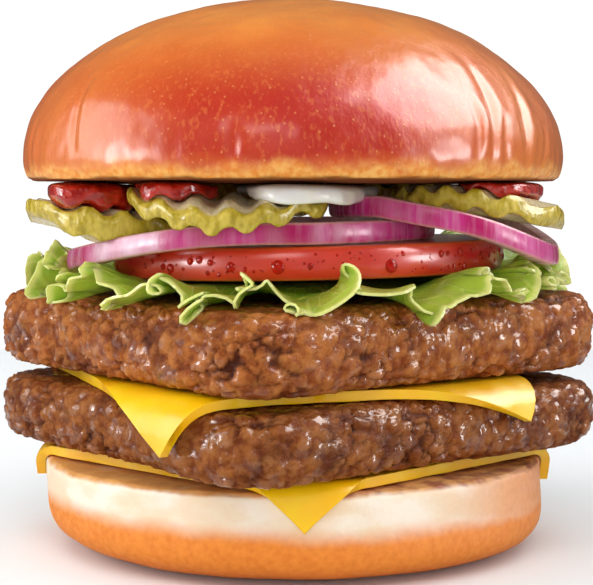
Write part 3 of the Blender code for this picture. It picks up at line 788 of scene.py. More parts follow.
def crease_depth(point):
    """How far the creases draw the crust in at a point, with a soft lip beside each."""
    bearing = bearing_of(point)
    radius = math.hypot(point.x, point.y)
    depth = 0.0
    for middle, low, high, deepest, width in CROWN_CREASES:
        off = (bearing - middle + 180.0) % 360.0 - 180.0
        share = (point.z / MM - low) / (high - low)
        if abs(off) > CREASE_REACH or not 0.0 < share < 1.0:
            continue
        across = math.radians(off) * radius / MM - 1.2 * math.sin(3.0 * share + middle)
        ends = math.sin(math.pi * share ** 0.8)
        line = math.exp(-((across / width) ** 2))
        lip = 0.45 * math.exp(-(((across - 2.0 * width) / (1.4 * width)) ** 2))
        depth += 0.7 * deepest * ends * (line - lip)
    return depth * MM


def crown_underside(x, y):
    """Height of the upper bun's cut face, which sags a little onto the filling."""
    inside = smoothstep((44 * MM - math.hypot(x, y)) / (8 * MM))
    return CROWN_BASE - CROWN_SAG * inside


def make_crown():
    rim = CROWN_WAIST - CROWN_BASE
    foot = CROWN_RADIUS - CROWN_FOOT_RUN
    profile = arc_points((0.0, CROWN_WAIST), (CROWN_RADIUS, CROWN_TOP - CROWN_WAIST), 90, 0, 72)
    profile[0] = (0.0, CROWN_TOP)
    profile += arc_points((foot, CROWN_WAIST), (CROWN_FOOT_RUN, rim), 0, -90, 12)[1:]
    profile += evenly((foot, CROWN_BASE), (0.0, CROWN_BASE), 14)
    obj = spun("upper_bun", profile, 640)

    def out_of_round(point):
        radius = math.hypot(point.x, point.y)
        factor = crown_radius_factor(math.atan2(point.y, point.x))
        share = CROWN_UNEVENNESS * factor * radius / CROWN_RADIUS**2
        return Vector((point.x * (1 + share), point.y * (1 + share), point.z))

    def baked(point, normal):
        if normal.z < -0.7:
            sag = CROWN_BASE - crown_underside(point.x, point.y)
            return sag + 0.06 * MM * ripple(point, 2.2 * MM, 3.0) - 0.06 * MM
        rise = 0.45 * MM * ripple(point, 17 * MM, 1.0) + 0.16 * MM * ripple(point, 6 * MM, 2.0)
        rise += 0.07 * MM * ripple(point, 2.4 * MM, 7.0)
        low = smoothstep((CROWN_WAIST + 6 * MM - point.z) / (9 * MM))
        rise += low * 0.22 * MM * ripple(Vector((point.x, point.y, point.z / 4)), 3.2 * MM, 8.0)
        return rise - crease_depth(point)

    reshape(obj, out_of_round)
    emboss(obj, baked)
    finish_piece(obj, crust_finish(), "crown")


# The beef patties
def patty_reach(angle):
    """How far a patty's edge is from the middle in a direction."""
    across = abs(math.cos(angle - PATTY_TURN)) ** PATTY_SQUARENESS
    along = abs(math.sin(angle - PATTY_TURN)) ** PATTY_SQUARENESS
    return PATTY_HALF_SIDE / (across + along) ** (1.0 / PATTY_SQUARENESS)


def crag(point, seed):
    """How far a patty's edge is broken in at a point."""
    depth = 0.0
    for size, share in zip((9 * MM, 4 * MM), (0.6, 0.4)):
        depth += share * (0.5 + 0.5 * noise.noise(point / size + Vector((seed, 0.0, 0.0))))
    return 1.5 * MM * depth


def corner_sag(radius, angle):
    """How far the front and back corners of a patty hang down at a point."""
    run = CORNER_SAG_END - CORNER_SAG_START
    return CORNER_SAG * math.sin(angle) ** 2 * smoothstep((radius - CORNER_SAG_START) / run)


def crumb_depth(point, seed):
    """Depth of the ground meat's crumb at a point, in mm: rounded grains with gaps between."""
    warp = 1.2 * MM * ripple(point, GRAIN_SIZE, seed)
    moved = point + Vector((warp, -warp, 0.6 * warp))
    near, second = cells(moved, GRAIN_SIZE, seed)
    gap = max(0.0, 1.0 - (second - near) / 0.4)
    fine_near, fine_second = cells(moved, FINE_GRAIN_SIZE, seed + 5.0)
    fine_gap = max(0.0, 1.0 - (fine_second - fine_near) / 0.45)
    rough = 0.8 + 0.6 * ripple(point, 9 * MM, seed + 9.0)
    pit = max(0.0, ripple(point, 4.5 * MM, seed + 20.0) - 0.22)
    return (0.7 * gap * gap + 0.6 * near + 0.3 * fine_gap) * rough + 0.9 * pit


def make_patty(name, node, base, height, seed, material):
    half = height / 2
    edge = PATTY_EDGE_DEPTH
    flat = PATTY_HALF_SIDE - edge
    inner = flat - 13 * MM
    profile = [(0.0, base + height)]
    profile += evenly((0.0, base + height), (inner, base + height), 6)
    profile += evenly((inner, base + height), (flat, base + height), 15)
    profile += arc_points((flat, base + half), (edge, half), 90, -90, 54, PATTY_FULLNESS)[1:-1]
    profile += [(flat, base)]
    profile += evenly((flat, base), (inner, base), 15)
    profile += evenly((inner, base), (0.0, base), 6)
    obj = spun(name, profile, 640)

    def squared(point):
        radius = math.hypot(point.x, point.y)
        if radius < 0.01 * MM:
            return point
        angle = math.atan2(point.y, point.x)
        out = max(0.0, radius - flat) / edge
        new_radius = (patty_reach(angle) - edge) * min(1.0, radius / flat) + edge * out
        new_radius -= out * 0.8 * crag(point, seed)
        z = point.z - corner_sag(new_radius, angle)
        return Vector((new_radius * math.cos(angle), new_radius * math.sin(angle), z))

    reshape(obj, squared)
    depths = []

    def crumbled(point, normal):
        depth = crumb_depth(point, seed)
        depths.append(depth)
        share = FACE_CRUMB_SHARE if abs(normal.z) > 0.9 else 1.0
        return (MIDDLE_CRUMB_DEPTH - depth) * MM * share

    emboss(obj, crumbled)
    # Crest height of the crumb, 1 on the crests and 0 in the deepest pits; the finish paints shade
    # into the pits and a highlight onto the crests from it, and wets the crests.
    attribute = obj.data.attributes.new("crumb", "FLOAT", "POINT")
    for item, depth in zip(attribute.data, depths):
        item.value = max(0.0, 1.0 - depth / DEEPEST_CRUMB)
    finish_piece(obj, material, node, 80.0)


# The cheese slices
def drape_path(edge_run, edge_drop, offset, power=1.0):
    """(reach past the flat part, drop) points of a slice that lies over a rounded edge."""
    edge = arc_points((0.0, 0.0), (edge_run, edge_drop), 90, 0, 25, power)
    points = [(0.0, 0.0)]
    for (reach, height), (next_reach, next_height) in zip(edge, edge[1:]):
        normal = Vector((height - next_height, next_reach - reach)).normalized()
        middle_reach = (reach + next_reach) / 2 + normal.x * offset
        middle_height = (height + next_height) / 2 + normal.y * offset
        points.append((middle_reach, edge_drop + offset - middle_height))
    points.append((edge_run + offset, edge_drop + offset))
    return points


def along_drape(path, length):
    """Reach and drop after that length of the path, and straight down past its end."""
    for (reach, drop), (next_reach, next_drop) in zip(path, path[1:]):
        step = math.hypot(next_reach - reach, next_drop - drop)
        if length <= step:
            share = length / step
            return reach + (next_reach - reach) * share, drop + (next_drop - drop) * share
        length -= step
    return path[-1][0], path[-1][1] + length


def square_edge(angle, side, centre, turn):
    """The point of a turned square's edge that lies at an angle from its middle."""
    reach = side / 2 / max(abs(math.cos(angle)), abs(math.sin(angle)))
    return Vector((
        centre[0] + reach * math.cos(angle + turn),
        centre[1] + reach * math.sin(angle + turn),
    ))


def make_cheese(name, node, shape, flat_reach, path, sag, material):
    """A square slice laid in rings, its corners bent down along the drape path."""
    profile = [(1.0 + i / 20, 0.0) for i in range(20, 0, -1)]
    profile += [(1.0 - i / 14, 0.0) for i in range(15)]
    obj = spun(name, profile, 240)
    level = shape["level"]

    def draped(point):
        share = math.hypot(point.x, point.y)
        if share < 0.01:
            return Vector((0.0, 0.0, level))
        angle = math.atan2(point.y, point.x)
        edge = square_edge(angle, shape["side"], shape["centre"], shape["turn"])
        outward = edge.normalized()
        bearing = math.atan2(edge.y, edge.x)
        support = flat_reach(bearing)
        bend_start = min(support, (1.0 - CHEESE_LEAST_RIM) * edge.length)
        if share <= 1.0:
            length = bend_start * share
        else:
            length = bend_start + (edge.length - bend_start) * (share - 1.0)
        over = length - support
        if over <= 0.0:
            return Vector((*(outward * length), level - sag(length, bearing)))
        reach, drop = along_drape(path, over)
        fall = drop + sag(support + reach, bearing)
        return Vector((*(outward * (support + reach)), level - fall))

    reshape(obj, draped)
    apply_modifier(obj, "SOLIDIFY", thickness=CHEESE_THICKNESS, offset=0.0)
    apply_modifier(
        obj, "BEVEL", width=0.5 * MM, segments=3, limit_method="ANGLE",
        angle_limit=math.radians(50),
    )
    outwards(obj)
    emboss(obj, lambda point, normal: 0.16 * MM * ripple(point, 6 * MM, 2.0) - 0.05 * MM)
    finish_piece(obj, material, node)


def make_lower_cheese(material):
    rim_run, rim_drop = HEEL_RIM_ROUNDING
    path = drape_path(rim_run, rim_drop, GAP + CHEESE_THICKNESS / 2)
    support = HEEL_RADIUS - rim_run
    make_cheese(
        "lower_cheese_slice", "lower_cheese", LOWER_CHEESE, lambda angle: support, path,
        lambda radius, angle: 0.0, material,
    )


def make_upper_cheese(material):
    offset = GAP + CHEESE_THICKNESS / 2
    path = drape_path(PATTY_EDGE_DEPTH, LOWER_PATTY_HEIGHT / 2, offset, PATTY_FULLNESS)
    inset = PATTY_EDGE_DEPTH - UPPER_CHEESE_OVERHANG
    make_cheese(
        "upper_cheese_slice", "upper_cheese", UPPER_CHEESE,
        lambda angle: patty_reach(angle) - inset, path, corner_sag, material,
    )


# The tomato slice
def tomato_rise(x):
    """How much higher the tilted slice lies at x than in its middle."""
    return math.tan(TOMATO_TILT) * (x - TOMATO_CENTRE[0])


def make_tomato():
    half = TOMATO_THICKNESS / 2
    round_edge = 0.4 * MM
    flat = TOMATO_RADIUS - TOMATO_BULGE
    skin = arc_points((flat, 0.0), (TOMATO_BULGE, half), 65, -65, 16)
    profile = [(0.0, half)]
    profile += evenly((0.0, half), (flat - round_edge, half), 16)
    profile += [(flat, half - 0.1 * round_edge)]
    profile += skin
    profile += [(flat, 0.1 * round_edge - half), (flat - round_edge, -half)]
    profile += evenly((flat - round_edge, -half), (0.0, -half), 12)
    obj = spun("tomato_slice", profile, 256)

    def around(point):
        on_face = math.hypot(point.x, point.y) < flat - 0.2 * MM
        return round_axis(point, TOMATO_CUT_MARK if on_face else abs(point.z) / half)

    def placed(point):
        x = point.x + TOMATO_CENTRE[0]
        z = TOMATO_BASE + half + point.z + tomato_rise(x)
        return Vector((x, point.y + TOMATO_CENTRE[1], z))

    mark(obj, "around", around)
    reshape(obj, placed)
    emboss(obj, lambda point, normal: 0.06 * MM * ripple(point, 14 * MM, 12.0) - 0.04 * MM)
    finish_piece(obj, tomato_finish(), "tomato")


# Juice drops: bearing from the front in degrees, height in the slice from 0 to 1, radius in mm
DROP_SEED = 41
FRONT_DROPS = 90
BACK_DROPS = 60
DROP_SINK = 0.05 * MM
BIG_DROPS = (
    (-44.0, 0.42, 0.55), (-41.0, 0.36, 0.7), (-34.0, 0.62, 0.6), (-31.0, 0.68, 0.6),
    (-27.5, 0.58, 0.55), (-21.5, 0.42, 0.75), (-28.5, 0.2, 0.4), (-25.0, 0.15, 0.35),
    (-36.5, 0.34, 0.3), (-52.0, 0.42, 0.45), (-48.5, 0.6, 0.35), (-17.5, 0.34, 0.35),
    (-8.5, 0.4, 1.0), (0.0, 0.42, 0.5), (22.0, 0.34, 1.0), (25.5, 0.75, 0.35),
    (38.0, 0.7, 0.55), (40.5, 0.7, 0.42), (45.5, 0.72, 0.75), (41.0, 0.2, 0.35),
    (43.0, 0.24, 0.4), (47.5, 0.2, 0.6), (51.0, 0.74, 0.4), (56.0, 0.62, 0.45),
    (43.5, 0.55, 0.3), (61.0, 0.5, 0.4), (66.0, 0.3, 0.3),
)


def make_drops():
    """Drops of juice on the tomato's skin, one rounded cap each."""
    rng = random.Random(DROP_SEED)
    drops = list(BIG_DROPS)
    for _ in range(FRONT_DROPS):
        drops.append((rng.uniform(-62, 66), rng.uniform(0.12, 0.88), rng.uniform(0.12, 0.26)))
    for _ in range(BACK_DROPS):
        drops.append((rng.uniform(70, 290), rng.uniform(0.15, 0.85), rng.uniform(0.15, 0.6)))
    balls = []
    for subdivisions in (2, 3):
        bpy.ops.mesh.primitive_ico_sphere_add(subdivisions=subdivisions, radius=1.0)
        balls.append(bpy.context.object)
    caps = []
    for bearing, share, size in drops:
        angle = math.radians(bearing - 90.0)
        out = Vector((math.cos(angle), math.sin(angle), 0.0))
        lift = (share - 0.5) * TOMATO_THICKNESS * 0.8
        bulge = TOMATO_BULGE * math.sqrt(1.0 - (lift / (TOMATO_THICKNESS / 2)) ** 2)
        reach = TOMATO_RADIUS - TOMATO_BULGE + bulge - DROP_SINK
        x = TOMATO_CENTRE[0] + out.x * reach
        z = TOMATO_BASE + TOMATO_THICKNESS / 2 + lift + tomato_rise(x)
        turn = out.to_track_quat("X", "Z").to_matrix().to_4x4()
        droop = rng.uniform(0.95, 1.15)
        shape = Matrix.Diagonal((0.6 * size * MM, 1.15 * size * MM, 1.15 * droop * size * MM, 1.0))
        ball = balls[1] if size > 0.3 else balls[0]
        cap = bpy.data.objects.new("drop", ball.data.copy())
        cap.data.transform(Matrix.Translation((x, out.y * reach, z)) @ turn @ shape)
        bpy.context.scene.collection.objects.link(cap)
        caps.append(cap)
    for ball in balls:
        bpy.data.objects.remove(ball)
    bpy.ops.object.select_all(action="DESELECT")
    for cap in caps:
        cap.select_set(True)
    bpy.context.view_layer.objects.active = caps[0]
    bpy.ops.object.join()
    joined = bpy.context.object
    joined.name = "tomato_juice_drops"
    finish_piece(joined, water_finish())


# The onion rings
def over_tomato(x, y, wanted):
    """A wanted height, kept above the tomato slice."""
    past_edge = max(0.0, distance(x, y, TOMATO_CENTRE) - TOMATO_RADIUS - 0.3 * MM)
    return max(wanted, TOMATO_TOP + tomato_rise(x) + GAP - 1.6 * past_edge)


def low_onion_base(x, y):
    sag = 4.3 * max(0.0, -4 * MM - x) ** 2
    return over_tomato(x, y, TOMATO_TOP + GAP - sag)


def high_onion_base(x, y):
    start = TOMATO_TOP + 3.5 * GAP + ONION_HEIGHT
    away = Vector(HIGH_ONION_CENTRE) - Vector(LOW_ONION_CENTRE)
    past = (Vector((x, y)) - Vector(LOW_ONION_CENTRE)).dot(away.normalized())
    slope = 0.2 * max(0.0, past - 29.5 * MM)
    sag = 17.0 * max(0.0, past - 41 * MM) ** 2
    return over_tomato(x, y, start - slope - sag)


# Where each ring's skin is painted pale: bearing from the front and width in degrees, and how much.
# The places at the front left and right are painted reflections of the side lights; the rest are
# the skin's own paler patches.
LOW_RING_PALE = (
    (-47.0, 7.0, 0.95), (-35.0, 5.0, 0.9), (-27.0, 3.0, 0.7), (-70.0, 3.0, 0.5), (-62.0, 2.0, 0.4),
    (-12.0, 6.0, 0.2), (8.0, 3.0, 0.2), (21.0, 2.5, 0.4), (27.0, 1.5, 0.45), (120.0, 14.0, 0.6),
    (-150.0, 12.0, 0.7), (170.0, 8.0, 0.5),
)
HIGH_RING_PALE = (
    (42.0, 9.0, 0.15), (57.0, 3.0, 0.2), (66.0, 2.5, 0.25), (75.0, 3.0, 0.35), (84.0, 4.0, 0.3),
    (25.0, 6.0, 0.12), (-30.0, 8.0, 0.15), (130.0, 14.0, 0.5), (-120.0, 16.0, 0.5),
)


def make_onion(name, node, centre, radius, base, pale_places, material):
    inner = radius - ONION_WALL
    height = ONION_HEIGHT
    skin = radius - 0.2 * MM
    profile = [
        (inner + 0.15 * MM, height - 0.05 * MM), (inner + 0.5 * MM, height),
        (inner + 0.5 * ONION_WALL, height + 0.02 * MM), (skin - 0.75 * MM, height),
        (skin - 0.35 * MM, height - 0.03 * MM), (skin - 0.1 * MM, height - 0.16 * MM),
        (skin, height * 0.85), (skin + 0.1 * MM, height * 0.7), (radius, height * 0.5),
        (radius, height * 0.3), (radius - 0.1 * MM, height * 0.14),
        (radius - 0.22 * MM, height * 0.05), (radius - 0.45 * MM, 0.0),
        (inner + 0.5 * ONION_WALL, -0.02 * MM), (inner, 0.0), (inner - 0.3 * MM, 0.12 * MM),
        (inner - 0.35 * MM, height * 0.3), (inner - 0.2 * MM, height * 0.6), (inner, height * 0.85),
    ]
    obj = spun(name, profile, 220, closed=True)

    def tint(point):
        """How much skin shows, how pale it is painted there, partly as a painted reflection, and
        how near its cut edge.
        """
        bearing = bearing_of(point)
        share = point.z / height
        at_skin = math.hypot(point.x, point.y) > radius - 0.6 * MM and -0.01 < share < 1.01
        pale = 0.0
        for middle, width, strength in pale_places:
            pale += strength * math.exp(-(((bearing - middle) / width) ** 2))
        edge = smoothstep((abs(share - 0.5) - 0.4) / 0.08)
        return (1.0 if at_skin else 0.0, min(1.0, pale), edge)

    def laid(point):
        angle = math.atan2(point.y, point.x)
        inner_x = centre[0] + inner * math.cos(angle)
        inner_y = centre[1] + inner * math.sin(angle)
        return Vector((centre[0] + point.x, centre[1] + point.y, base(inner_x, inner_y) + point.z))

    mark(obj, "around", lambda point: round_axis(point, point.z / height))
    mark(obj, "tint", tint)
    reshape(obj, laid)
    finish_piece(obj, material, node, 50.0)


# The lettuce
def patty_top_height(x, y):
    radius = math.hypot(x, y)
    half = UPPER_PATTY_HEIGHT / 2
    past = 1.0 - (patty_reach(math.atan2(y, x)) - radius) / PATTY_EDGE_DEPTH
    share = min(1.0, max(0.0, past)) ** (1 / PATTY_FULLNESS)
    fall = half * (1.0 - math.sqrt(1.0 - share * share) ** PATTY_FULLNESS)
    return UPPER_PATTY_BASE + UPPER_PATTY_HEIGHT - fall - corner_sag(radius, math.atan2(y, x))


def ring_ceiling(x, y, centre, radius, base):
    """How high the leaf may lie: up to a ring's underside, and higher beside the ring."""
    margin = 0.9 * MM
    out = distance(x, y, centre)
    beside = max(0.0, out - radius - margin, radius - ONION_WALL - margin - out)
    return base(x, y) + 1.5 * beside


def leaf_ceiling(x, y):
    """How high the leaf may lie under the tomato and the rings."""
    beside = max(0.0, distance(x, y, TOMATO_CENTRE) - TOMATO_RADIUS - 0.8 * MM)
    under_tomato = TOMATO_BASE + tomato_rise(x) + 1.3 * beside
    low = ring_ceiling(x, y, LOW_ONION_CENTRE, LOW_ONION_RADIUS, low_onion_base)
    high = ring_ceiling(x, y, HIGH_ONION_CENTRE, HIGH_ONION_RADIUS, high_onion_base)
    return min(under_tomato, low, high)


def leaf_waves(angle):
    """How far the leaf's folds, the curls on them and the fine frills have turned."""
    folds = LEAF_FOLDS * angle + 1.5 * math.sin(3 * angle + 1.0) + math.sin(5 * angle + 2.0)
    curls = 3.1 * folds + 1.6 * math.sin(7 * angle) + 0.8
    frills = 2.1 * curls + 1.2 * math.sin(11 * angle)
    return folds, curls, frills


def leaf_point(share, angle):
    """A point of the leaf, share 0 in its middle and 1 at its frilled edge."""
    radius = LEAF_RADIUS * share
    ruffle = smoothstep((radius - LEAF_FLAT_RADIUS) / (LEAF_RADIUS - LEAF_FLAT_RADIUS))
    edge = smoothstep((share - 0.8) / 0.2)
    folds, curls, frills = leaf_waves(angle)
    swell = 0.65 + 0.35 * math.sin(4 * angle + 1.3) + 0.3 * math.sin(9 * angle + 0.5)
    height = LEAF_FOLD_HEIGHT * (0.8 + 0.2 * math.sin(4 * angle))
    side_lift = LEAF_SIDE_LIFT * abs(math.cos(angle)) ** 3
    side_lift += LEAF_BACK_LIFT * smoothstep((math.sin(angle) - 0.2) / 0.5)
    z = TOMATO_BASE - LEAF_ROOM / 2 + ruffle * (height * math.sin(folds) + side_lift)
    z += (1 - ruffle) * 0.7 * MM * math.sin(3 * angle + radius / (4 * MM))
    z += edge * MM * (2.1 * swell * math.sin(curls) + 0.55 * math.sin(frills))
    lean = ruffle * 2.3 * MM * math.sin(2 * folds + 0.6)
    lean += edge * 1.2 * MM * swell * math.sin(2 * curls + 0.4)
    out = radius + ruffle * 1.6 * MM * math.cos(folds + 0.8)
    out += ruffle * 2.0 * MM * (abs(math.sin(angle)) ** 4 - 0.4) + ruffle * MM * math.cos(angle)
    out += edge * MM * (1.6 * swell * math.cos(curls + 0.5) + 0.5 * math.cos(frills))
    spot = Vector((math.cos(angle), math.sin(angle), 0.0))
    teeth = ripple(spot, 0.022, 3.0) + 0.6 * ripple(spot, 0.009, 6.0)
    out += smoothstep((share - 0.93) / 0.07) * 1.1 * MM * teeth
    turn = angle + lean / LEAF_RADIUS
    x = out * math.cos(turn)
    y = out * math.sin(turn)
    z = min(z, leaf_ceiling(x, y) - LEAF_GAP_ABOVE)
    z = max(z, patty_top_height(x, y) + LEAF_GAP_BELOW)
    return Vector((x, y, z))


def make_lettuce():
    shares = [1.0, 0.992, 0.98, 0.965, 0.95, 0.935, 0.92, 0.9, 0.88, 0.86, 0.84, 0.82, 0.8]
    shares += [0.775, 0.75, 0.725, 0.7, 0.67, 0.64, 0.6, 0.55, 0.48, 0.4, 0.3, 0.2, 0.1, 0.0]
    obj = spun("lettuce_leaf", [(share, 0.0) for share in shares], 960)

    mark(obj, "leaf", lambda p: round_axis(p, math.hypot(p.x, p.y)))
    reshape(obj, lambda p: leaf_point(math.hypot(p.x, p.y), math.atan2(p.y, p.x)))
    apply_modifier(obj, "SOLIDIFY", thickness=LEAF_THICKNESS, offset=0.0)
    finish_piece(obj, lettuce_finish(), "lettuce", 80.0)


# The pickle slices
def left_pickle_middle(x, y):
    return 62.65 * MM - 0.116 * (x + 35.5 * MM)


def front_pickle_middle(x, y):
    from_ring = distance(x, y, LOW_ONION_CENTRE)
    droop = 80.0 * max(0.0, from_ring - LOW_ONION_RADIUS - GAP) ** 2
    lift = 1.0 * MM * smoothstep((-12 * MM - x) / (12 * MM))
    return 65.2 * MM - droop + lift


def right_pickle_middle(x, y):
    return 66.4 * MM - 0.175 * max(0.0, x - 29 * MM)


def back_pickle_middle(x, y):
    inner_droop = 2.2 * MM * smoothstep((7 * MM - abs(x)) / (6 * MM))
    return 66.9 * MM - 0.03 * abs(x) - inner_droop


# Each slice: centre and radii in mm, the direction across its ridges in degrees, its height
PICKLES = {
    "pickle_left": ((-33.0, -14.8), (16.3, 16.5), 30.0, left_pickle_middle),
    "pickle_front": ((-11.4, -30.0), (17.8, 15.5), 0.0, front_pickle_middle),
    "pickle_right": ((34.0, -16.5), (16.0, 16.0), -30.0, right_pickle_middle),
    "pickle_back_left": ((-21.5, 23.0), (18.5, 16.5), 160.0, back_pickle_middle),
    "pickle_back_right": ((17.5, 25.0), (18.5, 16.0), 200.0, back_pickle_middle),
}


def pickle_wave(name, x, y):
    """Height of a slice's ridges above its middle at a place."""
    centre, radii, ridge_turn, _ = PICKLES[name]
    turn = math.radians(ridge_turn)
    across = (x - centre[0] * MM) * math.cos(turn) + (y - centre[1] * MM) * math.sin(turn)
    phase = math.pi * (PICKLE_RIDGES * across / (radii[0] * MM) + 0.25)
    return RIDGE_HEIGHT * max(-1.0, min(1.0, 1.25 * math.sin(phase)))


def pickle_slant(name, y):
    """How much thinner the front slice is cut towards its front edge."""
    if name != "pickle_front":
        return 0.0
    return 1.1 * MM * smoothstep((-29 * MM - y) / (11 * MM))


def make_pickle(name, material):
    centre, radii, ridge_turn, middle = PICKLES[name]
    half = PICKLE_THICKNESS / 2
    bulge = 0.05
    profile = [(0.0, half)]
    profile += evenly((0.0, half), (PICKLE_FACE_SHARE, half), 22)
    profile += arc_points((1.0 - bulge, 0.0), (bulge, half), 78, -78, 9)
    profile += [(PICKLE_FACE_SHARE, -half)]
    profile += evenly((PICKLE_FACE_SHARE, -half), (0.0, -half), 22)
    obj = spun(f"{name}_slice", profile, 160)
    turn = math.radians(ridge_turn)
    mark(obj, "slice", lambda p: (p.x, p.y, math.hypot(p.x, p.y)))

    def corrugated(point):
        local = Vector((point.x * radii[0], point.y * radii[1])) * MM
        local *= 1.0 + 0.02 * ripple(Vector((point.x, point.y, 0.0)), 0.4, centre[0])
        x = centre[0] * MM + local.x * math.cos(turn) - local.y * math.sin(turn)
        y = centre[1] * MM + local.x * math.sin(turn) + local.y * math.cos(turn)
        z = middle(x, y) + point.z + pickle_wave(name, x, y)
        if point.z > 0.0:
            z -= pickle_slant(name, y) * point.z / half
            if name.startswith("pickle_back"):
                z += BACK_PICKLE_EXTRA * point.z / half
        elif name == "pickle_front":
            past = distance(x, y, LOW_ONION_CENTRE) - LOW_ONION_RADIUS
            z += point.z / half * MM * smoothstep((past - 0.6 * MM) / (3 * MM))
        elif name == "pickle_left":
            on_ring = low_onion_base(x, y) + ONION_HEIGHT + 0.25 * MM
            hang = 1.8 * MM * smoothstep((x + 43 * MM) / (7 * MM)) * point.z / half
            z = max(z + hang, min(z, on_ring))
        return Vector((x, y, z))

    reshape(obj, corrugated)

    def warty(point, normal):
        if abs(normal.z) > 0.75:
            return 0.05 * MM * ripple(point, 1.5 * MM, 2.0)
        return 0.3 * MM * ripple(point, 1.6 * MM, 3.0) - 0.1 * MM

    emboss(obj, warty)
    finish_piece(obj, material, name)


# The sauces
# Each dollop: centre and radii in mm, and the pickle slice that it lies on
SAUCES = {
    "ketchup_left": ((-36.2, -18.0), (9.2, 13.0), "pickle_left"),
    "ketchup_middle": ((-20.6, -33.0), (7.0, 8.0), "pickle_front"),
    "ketchup_right": ((36.4, -20.0), (8.4, 10.0), "pickle_right"),
    "mayonnaise": ((2.0, -17.0), (12.6, 26.5), "pickle_front"),
}


def make_sauce(name, material):
    centre, radii, pickle = SAUCES[name]
    middle = PICKLES[pickle][3]
    bpy.ops.mesh.primitive_uv_sphere_add(segments=120, ring_count=60, radius=1.0)
    obj = bpy.context.object
    obj.name = f"{name}_dollop"

    def floor(x, y):
        if name == "mayonnaise":
            sag = smoothstep((x - 5 * MM) / (6 * MM)) * smoothstep((-14 * MM - y) / (6 * MM))
            base = front_pickle_middle(max(x, -18 * MM), y) - sag * 1.8 * MM
            return base + PICKLE_THICKNESS / 2 + 0.1 * MM - 1.3 * pickle_slant(pickle, y)
        base = middle(x, y) + PICKLE_THICKNESS / 2 + pickle_wave(pickle, x, y)
        return base - pickle_slant(pickle, y) + 0.1 * MM

    def pressed(point):
        angle = math.atan2(point.y, point.x)
        lobes = 1.0 + 0.08 * math.sin(3 * angle + 1.0) + 0.05 * math.sin(5 * angle)
        side = math.hypot(point.x, point.y)
        spread = lobes / math.sqrt(max(side, 0.001))
        x = (centre[0] + point.x * spread * radii[0]) * MM
        y = (centre[1] + point.y * spread * radii[1]) * MM
        ceiling = crown_underside(x, y) - 0.05 * MM
        low = min(floor(x, y), ceiling - 0.5 * MM)
        rise = math.copysign(math.sqrt(abs(point.z)), point.z)
        return Vector((x, y, (ceiling + low) / 2 + rise * (ceiling - low) / 2))

    reshape(obj, pressed)

    def lumpy(point, normal):
        side = 1.0 - abs(normal.z)
        return side * 0.35 * MM * ripple(point, 2.6 * MM, centre[0])

    emboss(obj, lumpy)
    finish_piece(obj, material, name, 80.0)


# Floor, lights and camera
FLOOR_RADIUS = 0.4
FLOOR_HEIGHT = -0.02 * MM
LIGHT_AIM = (0.0, 0.0, 0.06)


def make_floor():
    bpy.ops.mesh.primitive_circle_add(
        vertices=96, radius=FLOOR_RADIUS, fill_type="NGON", location=(0.0, 0.0, FLOOR_HEIGHT)
    )
    floor = bpy.context.object
    floor.name = "studio_floor"
    material, tree, shader, _ = new_finish("pale_floor", Roughness=0.9)
    seen = add_node(tree, "ShaderNodeLightPath").outputs["Is Camera Ray"]
    white = blend(tree, seen, (0.65, 0.65, 0.65, 1.0), (0.95, 0.98, 1.0, 1.0))
    join(tree, white, shader.inputs["Base Color"])
    shader.inputs["Specular IOR Level"].default_value = 0.1
    floor.data.materials.append(material)


def make_panel(name, place, size, power, mirrored=True, spread=True):
    """A rectangular softbox that faces the burger, for its reflection, its soft light or both."""
    light = bpy.data.lights.new(name, "AREA")
    light.shape = "RECTANGLE"
    light.size, light.size_y = size
    light.energy = power
    lamp = bpy.data.objects.new(name, light)
    bpy.context.scene.collection.objects.link(lamp)
    lamp.location = place
    aim = Vector(LIGHT_AIM) - Vector(place)
    lamp.rotation_euler = aim.to_track_quat("-Z", "Y").to_euler()
    lamp.visible_glossy = mirrored
    lamp.visible_diffuse = spread


def make_softboxes():
    make_panel("left_softbox", (-0.54, -0.07, 0.22), (0.40, 0.40), 1.9)
    make_panel("left_low", (-0.60, -0.27, 0.09), (0.2, 0.14), 1.5, spread=False)
    make_panel("right_softbox", (0.42, -0.06, 0.46), (0.56, 0.50), 9.0, spread=False)
    make_panel("right_low", (0.60, -0.27, 0.09), (0.2, 0.14), 1.5, spread=False)
    make_panel("right_fill", (0.50, -0.20, 0.30), (0.3, 0.4), 0.6, mirrored=False)
    make_panel("front_fill", (0.0, -0.95, 0.14), (0.6, 0.4), 3.0, mirrored=False)
    make_panel("glints", (-0.22, -0.74, 0.40), (0.34, 0.2), 0.9, spread=False)


def make_top_light():
    """Soft light from above, which the wet pieces don't mirror."""
    sun = bpy.data.lights.new("top_light", "SUN")
    sun.energy = 1.5
    sun.angle = math.radians(70)
    lamp = bpy.data.objects.new("top_light", sun)
    bpy.context.scene.collection.objects.link(lamp)
    lamp.rotation_euler = (math.radians(20), 0.0, 0.0)
    lamp.visible_glossy = False


WORLD_LIGHT = 0.36
WORLD_SEEN = 1.05
WORLD_MIRRORED = 0.09


def plain_white(tree, brightness):
    white = {"Color": (1.0, 1.0, 1.0, 1.0), "Strength": brightness}
    return add_node(tree, "ShaderNodeBackground", white).outputs[0]


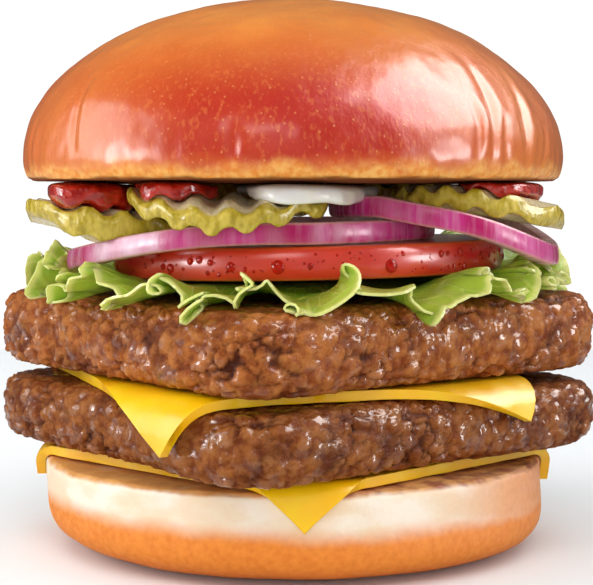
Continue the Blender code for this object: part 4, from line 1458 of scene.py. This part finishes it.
def make_world():
    """White behind the burger, dimmer as light on it and nearly dark in its reflections."""
    world = bpy.data.worlds.new("studio")
    bpy.context.scene.world = world
    world.use_nodes = True
    tree = world.node_tree
    tree.nodes.clear()
    ray = add_node(tree, "ShaderNodeLightPath")
    shader = plain_white(tree, WORLD_LIGHT)
    for kind, brightness in (("Is Camera Ray", WORLD_SEEN), ("Is Glossy Ray", WORLD_MIRRORED)):
        mix = add_node(tree, "ShaderNodeMixShader", {"Fac": ray.outputs[kind]})
        tree.links.new(shader, mix.inputs[1])
        tree.links.new(plain_white(tree, brightness), mix.inputs[2])
        shader = mix.outputs[0]
    output = add_node(tree, "ShaderNodeOutputWorld")
    tree.links.new(shader, output.inputs["Surface"])


PHOTO_WIDTH = 593
FOCAL_PIXELS = 1622.5
CAMERA_PLACE = (0.63 * MM, -315.8 * MM, 67.65 * MM)
CAMERA_PITCH = math.radians(3.572)


def make_camera():
    camera = bpy.data.cameras.new("camera")
    camera.sensor_width = 36.0
    camera.lens = FOCAL_PIXELS / PHOTO_WIDTH * camera.sensor_width
    camera.clip_start = 0.01
    camera.clip_end = 20.0
    obj = bpy.data.objects.new("camera", camera)
    bpy.context.scene.collection.objects.link(obj)
    obj.location = CAMERA_PLACE
    obj.rotation_euler = (math.radians(90) - CAMERA_PITCH, 0.0, 0.0)
    bpy.context.scene.camera = obj


def make_burger():
    make_heel()
    cheese = cheese_finish()
    make_lower_cheese(cheese)
    make_upper_cheese(cheese)
    beef = beef_finish()
    make_patty("lower_beef", "lower_patty", LOWER_PATTY_BASE, LOWER_PATTY_HEIGHT, 3.0, beef)
    make_patty("upper_beef", "upper_patty", UPPER_PATTY_BASE, UPPER_PATTY_HEIGHT, 11.0, beef)
    make_lettuce()
    make_tomato()
    make_drops()
    onion = onion_finish()
    make_onion(
        "low_onion_ring", "onion_low", LOW_ONION_CENTRE, LOW_ONION_RADIUS, low_onion_base,
        LOW_RING_PALE, onion,
    )
    make_onion(
        "high_onion_ring", "onion_high", HIGH_ONION_CENTRE, HIGH_ONION_RADIUS, high_onion_base,
        HIGH_RING_PALE, onion,
    )
    pickle = pickle_finish()
    for name in PICKLES:
        make_pickle(name, pickle)
    ketchup = ketchup_finish()
    for name in ("ketchup_left", "ketchup_middle", "ketchup_right"):
        make_sauce(name, ketchup)
    make_sauce("mayonnaise", mayonnaise_finish())
    make_crown()


bpy.ops.object.select_all(action="DESELECT")
make_burger()
make_floor()
make_softboxes()
make_top_light()
make_world()
make_camera()
bpy.context.scene.view_settings.view_transform = "Standard"
